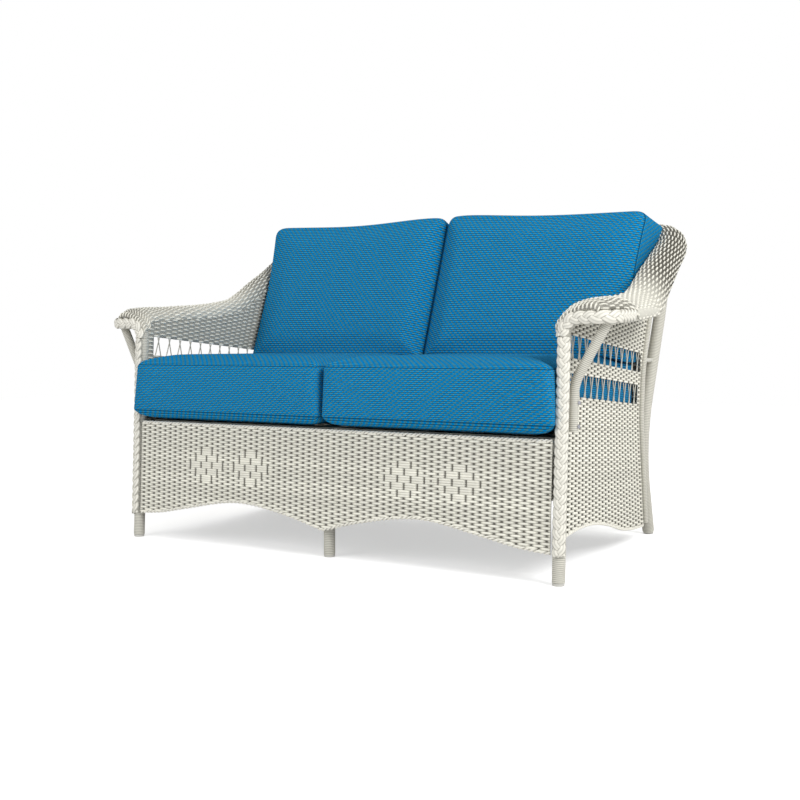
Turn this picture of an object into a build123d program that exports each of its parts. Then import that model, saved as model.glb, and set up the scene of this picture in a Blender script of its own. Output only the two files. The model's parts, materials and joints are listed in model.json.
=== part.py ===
from build123d import *
from math import atan, cos, radians, sin, tan
import os

# A two-seat patio loveseat of woven strand over bent aluminium tube, with four loose cushions.
# Millimetres. X runs to the sitter's left, Y to the back, Z up. The floor is Z 0.
# Depths are counted backwards from the line through the feet of the front legs.
# A name that ends in share or shares is a proportion of the size that it follows.

os.makedirs("parts", exist_ok=True)

# Overall driving dimensions
leg_span = 1260
front_lean = 2.7
arm_height = 603
arm_overhang = 105
back_overhang = 60
corner_depth = 855
back_rise = 250
wing_slope = 34
corner_bend = 80

# Tubes, their strand wraps and running gaps
tube_radius = 12.7
tube_wall = 2
wrap_thickness = 2.8
seat_gap = 0.4
slip_gap = 0.3
glide_height = 6
glide_radius = 14

# Woven skins
skin = 6
apron_top = 325
apron_low = 72
arch_rise = 52
apron_proud = 15
binding_height = 8
panel_low = 38
panel_arch_rise = 73

# Seat frame
rail_height = 312
centre_leg_depth = 22
strap_width = 50
strap_thickness = 2
long_straps_per_seat = 5
cross_straps = 6

# Cushions
cushion_gap = 3
seat_side_gap = 18
seat_proud = 25
seat_bulge = 6
seat_depth = 630
seat_seam_height = 129
seat_crown = 26
seat_under_crown = 30
back_tilt = 21.8
back_thickness = 114.6
back_cushion_height = 458
back_crown = 22
back_rear_crown = 1.5
back_side_gap = 15
back_rear_flare = 5
back_front_flare = 20
back_weave_gap = 8.4
side_pull = 6
cushion_corner = 28

wrap_radius = tube_radius + wrap_thickness
bore_radius = tube_radius - tube_wall
half_span = leg_span / 2
front_reach = seat_proud + seat_bulge
rear_reach = corner_depth + wrap_radius
leg_line = (front_reach - rear_reach) / 2
lean_slope = tan(radians(front_lean))
sides = ((-1, "right"), (1, "left"))


def at(depth):
    """Y of a depth behind the front leg line."""
    return leg_line + depth


def leaning(height):
    """Depth of the leaning front legs' centre line at a height."""
    return height * lean_slope


def save(part, name):
    """Label a finished piece and write it to its own file."""
    part.label = name
    export_step(part, f"parts/{name}.step")


def route_of(points, bends):
    """A route of straight runs joined by tangent arcs."""
    with BuildLine() as route:
        if bends:
            FilletPolyline(*points, radius=bends)
        else:
            Polyline(*points)
    return route.line


def ring_on(route, outer, inner):
    """A round or ring section square to the start of a route."""
    with BuildSketch(Plane(origin=route @ 0, z_dir=route % 0)) as ring:
        Circle(outer)
        if inner:
            Circle(inner, mode=Mode.SUBTRACT)
    return ring.sketch


def room_round(route, radius):
    """The space that a tube and its gap take, to cut another piece's end to it."""
    with BuildPart() as room:
        sweep(sections=ring_on(route, radius + slip_gap, 0), path=route)
    return room.part


# Routes of the tubes, given for side 1 and mirrored by the sign of X.
post_top = 560
arm_drop_bend = 38
arm_corner_bend = 38
arm_run_bend = 400
elbow_bend = 70
elbow_depth = 515
elbow_rise = 29
arm_level_depth = 200
arm_level_rise = 9
elbow_overhang = 70


def front_post_route(side):
    foot = (side * half_span, at(leaning(0)), 0)
    head = (side * half_span, at(leaning(post_top)), post_top)
    return route_of([foot, head], None)


corner_height = arm_height + back_rise
corner_x = half_span + back_overhang
slope_y = cos(radians(wing_slope))
slope_z = sin(radians(wing_slope))
splice_run = 10
splice_gap = 0.9
splice_depth = corner_depth - (corner_bend + splice_run) * slope_y
splice_height = corner_height - (corner_bend + splice_run) * slope_z


def arm_route(side):
    """From the head of the post out, round the front corner, back and up the wing."""
    post_depth = leaning(arm_height)
    points = [
        (side * half_span, at(leaning(post_top)), post_top + slip_gap),
        (side * half_span, at(post_depth), arm_height),
        (side * (half_span + arm_overhang), at(post_depth), arm_height),
        (side * (half_span + arm_overhang), at(arm_level_depth), arm_height + arm_level_rise),
        (side * (half_span + elbow_overhang), at(elbow_depth), arm_height + elbow_rise),
        (side * corner_x, at(splice_depth), splice_height),
    ]
    return route_of(points, [arm_drop_bend, arm_corner_bend, arm_run_bend, elbow_bend])


def top_route():
    """The back's top tube, with the bend of each upper corner."""
    start = (corner_x, at(splice_depth + splice_gap * slope_y), splice_height + splice_gap * slope_z)
    end = (-start[0], start[1], start[2])
    corner = (corner_x, at(corner_depth), corner_height)
    return route_of([start, corner, (-corner_x, corner[1], corner[2]), end], [corner_bend, corner_bend])


foot_spread = 620
back_foot_depth = 751
knee_depth = 655
knee_height = 270
back_knee_bend = 420
shoulder_x = 640
shoulder_depth = 765
shoulder_height = 625
shoulder_bend = 500


def back_post_route(side):
    """The sabre back leg, from below the floor line up to the top tube's corner."""
    points = [
        (side * foot_spread, at(back_foot_depth), 0),
        (side * foot_spread, at(knee_depth), knee_height),
        (side * shoulder_x, at(shoulder_depth), shoulder_height),
        (side * shoulder_x, at(corner_depth), corner_height),
    ]
    return route_of(points, [back_knee_bend, shoulder_bend])


# The side panel's rear stile, which the back panel's curve follows.
stile_radius = 8
panel_set_in = 5
panel_inner = half_span - panel_set_in
panel_middle = panel_inner + skin / 2
side_rail_x = panel_inner - seat_gap - tube_radius
stile_x = side_rail_x + tube_radius + slip_gap + stile_radius
stile_foot_depth = 672
stile_foot_height = 45
stile_waist_depth = 617
stile_waist_height = 340
stile_hip_depth = 630
stile_hip_height = 480
stile_head_set_in = 90
stile_head_depth = corner_depth - stile_head_set_in
stile_head_height = 800
stile_places = [
    (stile_foot_depth, stile_foot_height),
    (stile_waist_depth, stile_waist_height),
    (stile_hip_depth, stile_hip_height),
    (stile_head_depth, stile_head_height),
]
waist_bend = 300
hip_bend = 350
bend_room_share = 0.45


def fitting(places, bends):
    """Bend radii, each no larger than the shorter run at its corner has room for."""
    radii = []
    for before, corner, after, bend in zip(places, places[1:], places[2:], bends):
        into = Vector(*corner) - Vector(*before)
        away = Vector(*after) - Vector(*corner)
        room = bend_room_share * min(into.length, away.length)
        needed = bend * tan(radians(into.get_angle(away) / 2))
        radii.append(bend if needed <= room else bend * room / needed)
    return radii


stile_bends = fitting(stile_places, [waist_bend, hip_bend])


def stile_depth(height):
    """Depth of the stile's straight runs at a height."""
    for (low_depth, low), (high_depth, high) in zip(stile_places, stile_places[1:]):
        if low <= height <= high:
            return low_depth + (high_depth - low_depth) * (height - low) / (high - low)


def stile_route(side):
    return route_of([(side * stile_x, at(d), h) for d, h in stile_places], stile_bends)


# Feet
with BuildPart() as front_glides:
    for x, depth in ((-half_span, 0), (0, centre_leg_depth), (half_span, 0)):
        with BuildSketch(Plane((x, at(depth), 0))):
            Circle(glide_radius)
    extrude(amount=glide_height)
save(front_glides.part, "front_glides")

with BuildPart() as rear_glides:
    for side, name in sides:
        with BuildSketch(Plane((side * foot_spread, at(back_foot_depth), 0))):
            Circle(glide_radius)
    extrude(amount=glide_height)
save(rear_glides.part, "rear_glides")

# Front legs: an aluminium tube up to the arm, with its strand wrap
for side, name in sides:
    route = front_post_route(side)
    with BuildPart() as front_post:
        sweep(sections=ring_on(route, tube_radius, bore_radius), path=route)
        split(bisect_by=Plane.XY.offset(glide_height), keep=Keep.TOP)
    save(front_post.part, f"front_post_{name}")

    with BuildPart() as front_post_wrap:
        sweep(sections=ring_on(route, wrap_radius, tube_radius), path=route)
        split(bisect_by=Plane.XY.offset(glide_height), keep=Keep.TOP)
    save(front_post_wrap.part, f"front_post_wrap_{name}")

# Arm tubes: out over the front, back along the side and up the wing
for side, name in sides:
    route = arm_route(side)
    with BuildPart() as arm_tube:
        sweep(sections=ring_on(route, tube_radius, bore_radius), path=route)
    save(arm_tube.part, f"arm_tube_{name}")

    with BuildPart() as arm_wrap:
        sweep(sections=ring_on(route, wrap_radius, tube_radius), path=route)
    save(arm_wrap.part, f"arm_wrap_{name}")

# Top tube across the back, with both upper corners
with BuildPart() as top_tube:
    sweep(sections=ring_on(top_route(), tube_radius, bore_radius), path=top_route())
save(top_tube.part, "top_tube")

with BuildPart() as top_wrap:
    sweep(sections=ring_on(top_route(), wrap_radius, tube_radius), path=top_route())
save(top_wrap.part, "top_wrap")

# Back legs: sabre curved tubes, coped to the top tube
for side, name in sides:
    route = back_post_route(side)
    with BuildPart() as back_post:
        sweep(sections=ring_on(route, tube_radius, bore_radius), path=route)
        split(bisect_by=Plane.XY.offset(glide_height), keep=Keep.TOP)
        add(room_round(top_route(), wrap_radius), mode=Mode.SUBTRACT)
    largest = back_post.part.solids().sort_by(SortBy.VOLUME)[-1]
    save(Part(largest.wrapped), f"back_post_{name}")

    with BuildPart() as back_post_wrap:
        sweep(sections=ring_on(route, wrap_radius, tube_radius), path=route)
        split(bisect_by=Plane.XY.offset(glide_height), keep=Keep.TOP)
        add(room_round(top_route(), wrap_radius), mode=Mode.SUBTRACT)
    largest = back_post_wrap.part.solids().sort_by(SortBy.VOLUME)[-1]
    save(Part(largest.wrapped), f"back_post_wrap_{name}")

# Seat rails
apron_back = skin - apron_proud
rail_offset = apron_back + seat_gap + tube_radius
front_rail_depth = leaning(rail_height) + rail_offset
rear_rail_depth = knee_depth + seat_gap


def cross_route(depth, height, reach):
    return route_of([(-reach, at(depth), height), (reach, at(depth), height)], None)


def side_route(x):
    return route_of([(x, at(0), rail_height), (x, at(rear_rail_depth), rail_height)], None)


front_rail_route = cross_route(front_rail_depth, rail_height, half_span - tube_radius)
rear_rail_route = cross_route(rear_rail_depth, rail_height, foot_spread)

with BuildPart() as front_rail:
    sweep(sections=ring_on(front_rail_route, tube_radius, bore_radius), path=front_rail_route)
    for side, name in sides:
        add(room_round(front_post_route(side), wrap_radius), mode=Mode.SUBTRACT)
middle = front_rail.part.solids().sort_by(SortBy.VOLUME)[-1]
save(Part(middle.wrapped), "front_rail")

with BuildPart() as rear_rail:
    sweep(sections=ring_on(rear_rail_route, tube_radius, bore_radius), path=rear_rail_route)
    for side, name in sides:
        add(room_round(back_post_route(side), wrap_radius), mode=Mode.SUBTRACT)
middle = rear_rail.part.solids().sort_by(SortBy.VOLUME)[-1]
save(Part(middle.wrapped), "rear_rail")

for side, name in sides:
    route = side_route(side * side_rail_x)
    with BuildPart() as side_rail:
        sweep(sections=ring_on(route, tube_radius, bore_radius), path=route)
        add(room_round(front_post_route(side), wrap_radius), mode=Mode.SUBTRACT)
        add(room_round(back_post_route(side), wrap_radius), mode=Mode.SUBTRACT)
        add(room_round(front_rail_route, tube_radius), mode=Mode.SUBTRACT)
        add(room_round(rear_rail_route, tube_radius), mode=Mode.SUBTRACT)
    middle = side_rail.part.solids().sort_by(SortBy.VOLUME)[-1]
    save(Part(middle.wrapped), f"side_rail_{name}")

centre_route = side_route(0)
with BuildPart() as centre_rail:
    sweep(sections=ring_on(centre_route, tube_radius, bore_radius), path=centre_route)
    add(room_round(front_rail_route, tube_radius), mode=Mode.SUBTRACT)
    add(room_round(rear_rail_route, tube_radius), mode=Mode.SUBTRACT)
middle = centre_rail.part.solids().sort_by(SortBy.VOLUME)[-1]
save(Part(middle.wrapped), "centre_rail")

# Centre front leg, standing under the meeting of the front and centre rails
centre_leg_top = rail_height - tube_radius - slip_gap
centre_leg_route = route_of(
    [(0, at(centre_leg_depth), glide_height),
     (0, at(centre_leg_depth), centre_leg_top)], None)
with BuildPart() as centre_leg:
    sweep(sections=ring_on(centre_leg_route, tube_radius, bore_radius), path=centre_leg_route)
save(centre_leg.part, "centre_leg")

with BuildPart() as centre_leg_wrap:
    sweep(sections=ring_on(centre_leg_route, wrap_radius, tube_radius), path=centre_leg_route)
save(centre_leg_wrap.part, "centre_leg_wrap")

# Rear stiles of the side panels, and their spacers to the back legs
spacer_radius = 6
spacer_heights = (500, 690)
search_steps = 30
past_corner_share = 0.09
for side, name in sides:
    route = stile_route(side)
    with BuildPart() as rear_stile:
        sweep(sections=ring_on(route, stile_radius, 0), path=route)
    save(rear_stile.part, f"rear_stile_{name}")


def point_at(route, height):
    """The point of a rising route at a height."""
    low, high = 0, 1
    for step in range(search_steps):
        middle_share = (low + high) / 2
        if (route @ middle_share).Z < height:
            low = middle_share
        else:
            high = middle_share
    return route @ low


with BuildPart() as stile_spacers:
    for side, name in sides:
        for height in spacer_heights:
            ends = [point_at(stile_route(side), height), point_at(back_post_route(side), height)]
            route = route_of(ends, None)
            sweep(sections=ring_on(route, spacer_radius, 0), path=route)
        add(room_round(stile_route(side), stile_radius), mode=Mode.SUBTRACT)
        add(room_round(back_post_route(side), wrap_radius), mode=Mode.SUBTRACT)
save(stile_spacers.part, "stile_spacers")

# Arm rims: the woven roll from the front of the arm, up the wing and round the upper corner.
# Each station is a half oval between the arm tube and the top of the side panel.
roll_height = 75
roll_drop = 38
roll_tube_gap = 1.5
roll_seat = wrap_radius + roll_tube_gap
top_roll_width = 74
profile_steps = 8
# depth share of the corner depth, tilt share of the wing slope, crest share of the roll height,
# and the share of the roll's drop at its inner edge
arm_station_shares = [
    (0.037, 0.00, 0.36, 0.26),
    (0.053, 0.00, 0.49, 0.52),
    (0.080, 0.00, 0.54, 1.00),
    (0.130, 0.00, 0.56, 1.00),
    (0.234, 0.05, 0.57, 1.00),
    (0.351, 0.10, 0.61, 1.00),
    (0.468, 0.22, 0.72, 1.00),
    (0.560, 0.45, 0.88, 1.00),
    (0.640, 0.75, 0.95, 1.00),
    (0.719, 1.00, 0.85, 1.00),
    (0.810, 1.00, 0.74, 1.00),
]
corner_crest_shares = [0.72, 0.74, 0.76, 0.77, 0.77]
left_arm_route = arm_route(1)


def rim_profile(width, crest, drop_end):
    """Points of a woven roll's section: a half oval of the skin's thickness, on a slanted base."""
    outer, inner = [], []
    for step in range(profile_steps + 1):
        angle = radians(180 * step / profile_steps)
        for points, grow in ((outer, skin / 2), (inner, -skin / 2)):
            across = width / 2 - (width / 2 + grow) * cos(angle)
            base_share = min(max(across / width, 0), 1)
            base = roll_seat + (drop_end - roll_seat) * base_share
            middle_base = (roll_seat + drop_end) / 2
            points.append((across, base + (crest - middle_base + grow) * sin(angle)))
    return outer + inner[::-1]


def rim_face(origin, outward, normal, width, crest, drop):
    """One station of the roll, in the plane of the outward and normal directions."""
    section = Plane(origin=origin, x_dir=-outward, z_dir=(-outward).cross(normal))
    with BuildSketch(section) as face:
        with BuildLine():
            Polyline(*rim_profile(width, crest, crest - drop), close=True)
        make_face()
    return face.sketch.faces()[0]


def point_at_depth(route, depth):
    """The point of an arm route, past its front corner, at a depth."""
    low, high = past_corner_share, 1
    for step in range(search_steps):
        middle_share = (low + high) / 2
        if (route @ middle_share).Y < at(depth):
            low = middle_share
        else:
            high = middle_share
    return route @ low


def arm_station(depth_share, tilt_share):
    """Where the arm tube's centre line is at a station, and the roll's directions there."""
    origin = point_at_depth(left_arm_route, depth_share * corner_depth)
    tilt = radians(wing_slope) * tilt_share
    return origin, Vector(1, 0, 0), Vector(0, -sin(tilt), cos(tilt))


corner_turn = 90
bend_centre = Vector(corner_x - corner_bend, at(corner_depth - corner_bend * slope_y),
                     corner_height - corner_bend * slope_z)


def corner_station(turn_share):
    """The same at a share of the upper corner's turn."""
    turn = radians(corner_turn) * turn_share
    outward = Vector(cos(turn), slope_y * sin(turn), slope_z * sin(turn))
    return bend_centre + outward * corner_bend, outward, Vector(0, -slope_z, slope_y)


def rim_stations():
    """All stations of the arm rim, from the front of the arm to the top of the back."""
    faces = []
    for depth_share, tilt_share, crest_share, drop_share in arm_station_shares:
        origin, outward, normal = arm_station(depth_share, tilt_share)
        width = origin.X - panel_middle
        crest = crest_share * roll_height
        faces.append(rim_face(origin, outward, normal, width, crest, roll_drop * drop_share))
    for place, crest_share in enumerate(corner_crest_shares):
        turn_share = place / (len(corner_crest_shares) - 1)
        origin, outward, normal = corner_station(turn_share)
        wing_width = corner_x - panel_middle
        width = wing_width + (top_roll_width - wing_width) * turn_share
        faces.append(rim_face(origin, outward, normal, width, crest_share * roll_height, roll_drop))
    return faces


with BuildPart() as arm_rim_left:
    loft(sections=rim_stations(), ruled=True)
save(arm_rim_left.part, "arm_rim_left")

with BuildPart() as arm_rim_right:
    add(mirror(arm_rim_left.part, about=Plane.YZ))
save(arm_rim_right.part, "arm_rim_right")

# Back rim: the same roll straight across the top of the back
with BuildPart() as back_rim:
    origin, outward, normal = corner_station(1)
    crest = corner_crest_shares[-1] * roll_height
    start = origin - Vector(slip_gap, 0, 0)
    add(extrude(rim_face(start, outward, normal, top_roll_width, crest, roll_drop),
                amount=2 * start.X, dir=(-1, 0, 0)))
save(back_rim.part, "back_rim")

# Side panels: woven skins with two windows, from the front leg to the rear stile
panel_gap = 1.3
window_front = 65
window_rears = (618, 592)
window_tops = (566, 478)
window_height = 55
window_slope = 4.8
window_corner = 5
# depth share of the stile's foot, and height share of the panel's arch
panel_edge_shares = [(0.20, 1.0), (0.36, 0.93), (0.53, 0.66), (0.70, 0.27), (0.85, 0.08)]
panel_plane = Plane(origin=(panel_inner, 0, 0), x_dir=(0, 1, 0), z_dir=(1, 0, 0))
panel_front_share = 0.9
panel_front_height = panel_low + panel_front_share * panel_arch_rise


def panel_front(height):
    """Depth of the panel's front edge, just behind the leaning front leg."""
    return leaning(height) + wrap_radius + seat_gap


def panel_bottom(drop):
    """The curved lower edge of a side panel, lowered by a drop."""
    low_end = stile_foot_depth - stile_radius - seat_gap
    points = [(at(panel_front(panel_front_height)), panel_front_height - drop)]
    for depth_share, rise_share in panel_edge_shares:
        points.append((at(depth_share * stile_foot_depth), panel_low + rise_share * panel_arch_rise - drop))
    points.append((at(low_end), panel_low - drop))
    return points


def panel_top():
    """Points under the inner edge of the arm rim, from the rear to the front."""
    points = []
    for depth_share, tilt_share, crest_share, drop_share in arm_station_shares[1:]:
        origin, outward, normal = arm_station(depth_share, tilt_share)
        edge = origin + normal * (crest_share * roll_height - roll_drop * drop_share)
        points.append((edge.Y, edge.Z - panel_gap))
    origin, outward, normal = corner_station(0)
    edge = origin + normal * (corner_crest_shares[0] * roll_height - roll_drop)
    points.append((edge.Y, edge.Z - panel_gap))
    return points[::-1]


def window_edge(place, depth):
    """Height of a window's sloping top edge at a depth."""
    return window_tops[place] - (depth - window_front) * tan(radians(window_slope))


with BuildPart() as side_panel_left:
    with BuildSketch(panel_plane):
        with BuildLine():
            bottom = Spline(*panel_bottom(0))
            stile_line = FilletPolyline(*[(at(d), h) for d, h in stile_places], radius=stile_bends)
            Line(bottom @ 1, stile_line @ 0)
            top = panel_top()
            front_top = (at(panel_front(top[-1][1])), top[-1][1])
            Polyline(stile_line @ 1, *top, front_top, bottom @ 0)
        make_face()
        for place, rear in enumerate(window_rears):
            with BuildSketch(mode=Mode.SUBTRACT):
                with BuildLine():
                    Polyline(
                        (at(window_front), window_edge(place, window_front)),
                        (at(rear), window_edge(place, rear)),
                        (at(rear), window_edge(place, rear) - window_height),
                        (at(window_front), window_edge(place, window_front) - window_height),
                        close=True)
                window = make_face()
                fillet(window.vertices(), window_corner)
    extrude(amount=skin)
    add(room_round(stile_route(1), stile_radius), mode=Mode.SUBTRACT)
largest = side_panel_left.part.solids().sort_by(SortBy.VOLUME)[-1]
with BuildPart() as side_panel_left:
    add(largest)
save(side_panel_left.part, "side_panel_left")

with BuildPart() as side_panel_right:
    add(mirror(side_panel_left.part, about=Plane.YZ))
save(side_panel_right.part, "side_panel_right")

binding_proud = 1.5
with BuildPart() as side_binding_left:
    with BuildSketch(panel_plane.offset(-binding_proud)):
        with BuildLine():
            upper = Spline(*panel_bottom(slip_gap))
            lower = Spline(*panel_bottom(slip_gap + binding_height))
            Line(upper @ 0, lower @ 0)
            Line(upper @ 1, lower @ 1)
        make_face()
    extrude(amount=skin + 2 * binding_proud)
save(side_binding_left.part, "side_binding_left")

with BuildPart() as side_binding_right:
    add(mirror(side_binding_left.part, about=Plane.YZ))
save(side_binding_right.part, "side_binding_right")

# Gallery strands that cross in pairs over the windows
strand_radius = 1.5
strand_layer_step = 3.3
strand_pairs = 12
strand_top_shift = 5
strand_foot_shifts = (6, -14)
strand_end_gap = 0.9


def strand(place, middle, top_shift, foot_shift, layer):
    """One straight strand across a window, in its layer of the panel's thickness."""
    x = panel_inner + strand_radius + layer * strand_layer_step
    foot_depth = middle + foot_shift
    head_depth = middle + top_shift
    foot = Vector(x, at(foot_depth), window_edge(place, foot_depth) - window_height + strand_end_gap)
    head = Vector(x, at(head_depth), window_edge(place, head_depth) - strand_end_gap)
    with BuildPart() as made:
        with BuildSketch(Plane(origin=foot, z_dir=head - foot)):
            Circle(strand_radius)
        extrude(amount=(head - foot).length)
    return made.part


gallery = []
for place, rear in enumerate(window_rears):
    pitch = (rear - window_front) / strand_pairs
    for pair in range(strand_pairs):
        middle_depth = window_front + pitch * (pair + 0.5)
        gallery.append(strand(place, middle_depth, -strand_top_shift, strand_foot_shifts[0], 0))
        gallery.append(strand(place, middle_depth, strand_top_shift, strand_foot_shifts[1], 1))

with BuildPart() as gallery_strands_left:
    add(gallery)
save(gallery_strands_left.part, "gallery_strands_left")

with BuildPart() as gallery_strands_right:
    add(mirror(gallery_strands_left.part, about=Plane.YZ))
save(gallery_strands_right.part, "gallery_strands_right")

# Front apron: a woven skin between the front legs, with two arches and a bound lower edge
apron_end_gap = 3.5
apron_reach = half_span - wrap_radius - apron_end_gap
front_plane = Plane(origin=(0, at(0), 0), x_dir=(1, 0, 0),
                    z_dir=(0, -cos(radians(front_lean)), sin(radians(front_lean))))
# width share from the centre, and height share of the arch
arch_shares = [(0.0, 0.02), (0.175, 0.56), (0.44, 1.0), (0.735, 0.46), (0.87, 0.15), (1.0, 0.0)]


def arch_edge(side, low, rise):
    return [(side * across * apron_reach, low + up * rise) for across, up in arch_shares]


with BuildPart() as front_apron:
    with BuildSketch(front_plane.offset(apron_proud - skin)):
        with BuildLine():
            half_left = Spline(*arch_edge(1, apron_low, arch_rise))
            half_right = Spline(*arch_edge(-1, apron_low, arch_rise))
            Polyline(half_left @ 1, (apron_reach, apron_top), (-apron_reach, apron_top), half_right @ 1)
        make_face()
    extrude(amount=skin)
save(front_apron.part, "front_apron")

with BuildPart() as front_binding:
    with BuildSketch(front_plane.offset(apron_proud - skin - binding_proud)):
        with BuildLine():
            for drop in (slip_gap, slip_gap + binding_height):
                for side, name in sides:
                    Spline(*arch_edge(side, apron_low - drop, arch_rise))
            for side, name in sides:
                Line((side * apron_reach, apron_low - slip_gap),
                     (side * apron_reach, apron_low - slip_gap - binding_height))
        make_face()
    extrude(amount=skin + 2 * binding_proud)
save(front_binding.part, "front_binding")

# Back panel and rear apron: one curve behind the stiles, in two skins
back_reach = stile_x - stile_radius - seat_gap
back_weave_low = rail_height + tube_radius + 2 * strap_thickness + 4 * slip_gap + panel_gap
rear_apron_top = rail_height - tube_radius - panel_gap
rear_low = 52
rear_rise = 45
origin, outward, normal = corner_station(1)
rim_crest = corner_crest_shares[-1] * roll_height
rim_inner = origin + normal * (rim_crest - roll_drop) - outward * (top_roll_width + skin / 2)
back_top = rim_inner.Z - 2 * panel_gap
head_slope = (stile_head_depth - stile_hip_depth) / (stile_head_height - stile_hip_height)
back_top_depth = stile_head_depth + (back_top - stile_head_height) * head_slope
back_places = stile_places[:-1] + [(back_top_depth, back_top)]


def back_skin(bottom, top):
    """The curved skin between two heights, over the full width between the stiles."""
    with BuildPart() as made:
        with BuildSketch(Plane.YZ):
            with BuildLine():
                FilletPolyline(*[(at(d), h) for d, h in back_places], radius=stile_bends)
                offset(amount=skin, side=Side.RIGHT, closed=True)
            make_face()
        extrude(amount=back_reach, both=True)
        split(bisect_by=Plane.XY.offset(bottom), keep=Keep.TOP)
        split(bisect_by=Plane.XY.offset(top), keep=Keep.BOTTOM)
    return made.part


with BuildPart() as back_weave:
    add(back_skin(back_weave_low, back_top))
save(back_weave.part, "back_weave")

with BuildPart() as rear_apron:
    add(back_skin(stile_foot_height + glide_height, rear_apron_top))
    with BuildSketch(Plane.XZ):
        with BuildLine():
            half_left = Spline(*arch_edge(1, rear_low, rear_rise))
            half_right = Spline(*arch_edge(-1, rear_low, rear_rise))
            Polyline(half_left @ 1, (half_span, rear_low), (half_span, 0), (-half_span, 0),
                     (-half_span, rear_low), half_right @ 1)
        make_face()
    extrude(amount=corner_depth, both=True, mode=Mode.SUBTRACT)
save(rear_apron.part, "rear_apron")

back_rail_radius = 8
back_rail_heights = (345, 560, 770)
with BuildPart() as back_panel_rails:
    for height in back_rail_heights:
        below = point_at(stile_route(1), height - back_rail_radius)
        above = point_at(stile_route(1), height + back_rail_radius)
        skin_lean = atan((above.Y - below.Y) / (above.Z - below.Z))
        depth = (above.Y + below.Y) / 2 - leg_line + (skin + seat_gap + back_rail_radius) / cos(skin_lean)
        route = cross_route(depth, height, back_reach)
        sweep(sections=ring_on(route, back_rail_radius, 0), path=route)
save(back_panel_rails.part, "back_panel_rails")

# Curved braces from the front legs to the arms' overhang, with their wraps and screw heads
brace_wrap_radius = 12
brace_radius = 9.5
brace_bore = 7.5
brace_foot_height = 345
brace_straight_height = 455
brace_turn = 40
brace_head_x = 728
brace_head_depth = 50
brace_bend = 120
brace_reach = wrap_radius + brace_wrap_radius + slip_gap
brace_x = half_span + brace_reach * sin(radians(brace_turn))
brace_back = brace_reach * cos(radians(brace_turn))


def brace_route(side):
    """Up behind and outside the front leg, then out to the underside of the arm tube."""
    points = []
    for height in (brace_foot_height, brace_straight_height):
        points.append((side * brace_x, at(leaning(height) + brace_back), height))
    points.append((side * brace_head_x, at(brace_head_depth), arm_height))
    return route_of(points, brace_bend)


for side, name in sides:
    with BuildPart() as arm_brace:
        sweep(sections=ring_on(brace_route(side), brace_radius, brace_bore), path=brace_route(side))
        add(room_round(arm_route(side), wrap_radius), mode=Mode.SUBTRACT)
    largest = arm_brace.part.solids().sort_by(SortBy.VOLUME)[-1]
    save(Part(largest.wrapped), f"arm_brace_{name}")

    with BuildPart() as arm_brace_wrap:
        sweep(sections=ring_on(brace_route(side), brace_wrap_radius, brace_radius), path=brace_route(side))
        add(room_round(arm_route(side), wrap_radius), mode=Mode.SUBTRACT)
    largest = arm_brace_wrap.part.solids().sort_by(SortBy.VOLUME)[-1]
    save(Part(largest.wrapped), f"arm_brace_wrap_{name}")

screw_radius = 4.5
screw_height = 3
screw_heights = (358, 412)
with BuildPart() as brace_screws:
    for side, name in sides:
        for height in screw_heights:
            seat_x = side * (brace_x + brace_wrap_radius + slip_gap)
            seat = (seat_x, at(leaning(height) + brace_back), height)
            with BuildSketch(Plane(origin=seat, z_dir=(side, 0, 0))):
                Circle(screw_radius)
            extrude(amount=screw_height)
save(brace_screws.part, "brace_screws")

# Plaits up the front legs and round the front of the arms
braid_inner = wrap_radius + seat_gap
braid_thickness = 8
braid_outer = braid_inner + braid_thickness
braid_angle = 110
braid_low = 68
braid_turns = {"right": 20, "left": 45}
arm_braid_depth = 165


def braid_section(route, facing):
    """A sector of a ring round the start of a route, facing one way."""
    with BuildSketch(Plane(origin=route @ 0, x_dir=facing, z_dir=route % 0)) as sector:
        with BuildLine():
            outside = CenterArc((0, 0), braid_outer, -braid_angle / 2, braid_angle)
            inside = CenterArc((0, 0), braid_inner, -braid_angle / 2, braid_angle)
            Line(outside @ 0, inside @ 0)
            Line(outside @ 1, inside @ 1)
        make_face()
    return sector.sketch


def arm_braid_route(side):
    """The arm tube's route as far as the plait follows it."""
    post_depth = leaning(arm_height)
    rise_share = (arm_braid_depth - post_depth) / (arm_level_depth - post_depth)
    overhang_x = side * (half_span + arm_overhang)
    points = [
        (side * half_span, at(leaning(post_top)), post_top + slip_gap),
        (side * half_span, at(post_depth), arm_height),
        (overhang_x, at(post_depth), arm_height),
        (overhang_x, at(arm_braid_depth), arm_height + arm_level_rise * rise_share),
    ]
    return route_of(points, [arm_drop_bend, arm_corner_bend])


for side, name in sides:
    turn = radians(braid_turns[name])
    route = front_post_route(side)
    with BuildPart() as post_braid:
        facing = (side * sin(turn), -cos(turn), 0)
        sweep(sections=braid_section(route, facing), path=route)
        split(bisect_by=Plane.XY.offset(braid_low), keep=Keep.TOP)
    save(post_braid.part, f"post_braid_{name}")

    with BuildPart() as arm_braid:
        sweep(sections=braid_section(arm_braid_route(side), (0, -1, 0)), path=arm_braid_route(side))
    save(arm_braid.part, f"arm_braid_{name}")

# Seat straps in two layers over the rails
long_strap_low = rail_height + tube_radius + slip_gap
cross_strap_low = long_strap_low + strap_thickness + slip_gap
seat_bottom = cross_strap_low + strap_thickness + slip_gap
strap_depth = (front_rail_depth + rear_rail_depth) / 2
strap_run = rear_rail_depth - front_rail_depth
end_strap_share = 0.25
strap_pitch = half_span / (long_straps_per_seat + end_strap_share)
with BuildPart() as long_straps:
    with BuildSketch(Plane((0, at(strap_depth), long_strap_low))):
        with GridLocations(strap_pitch, 0, 2 * long_straps_per_seat, 1):
            Rectangle(strap_width, strap_run)
    extrude(amount=strap_thickness)
save(long_straps.part, "long_straps")

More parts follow.
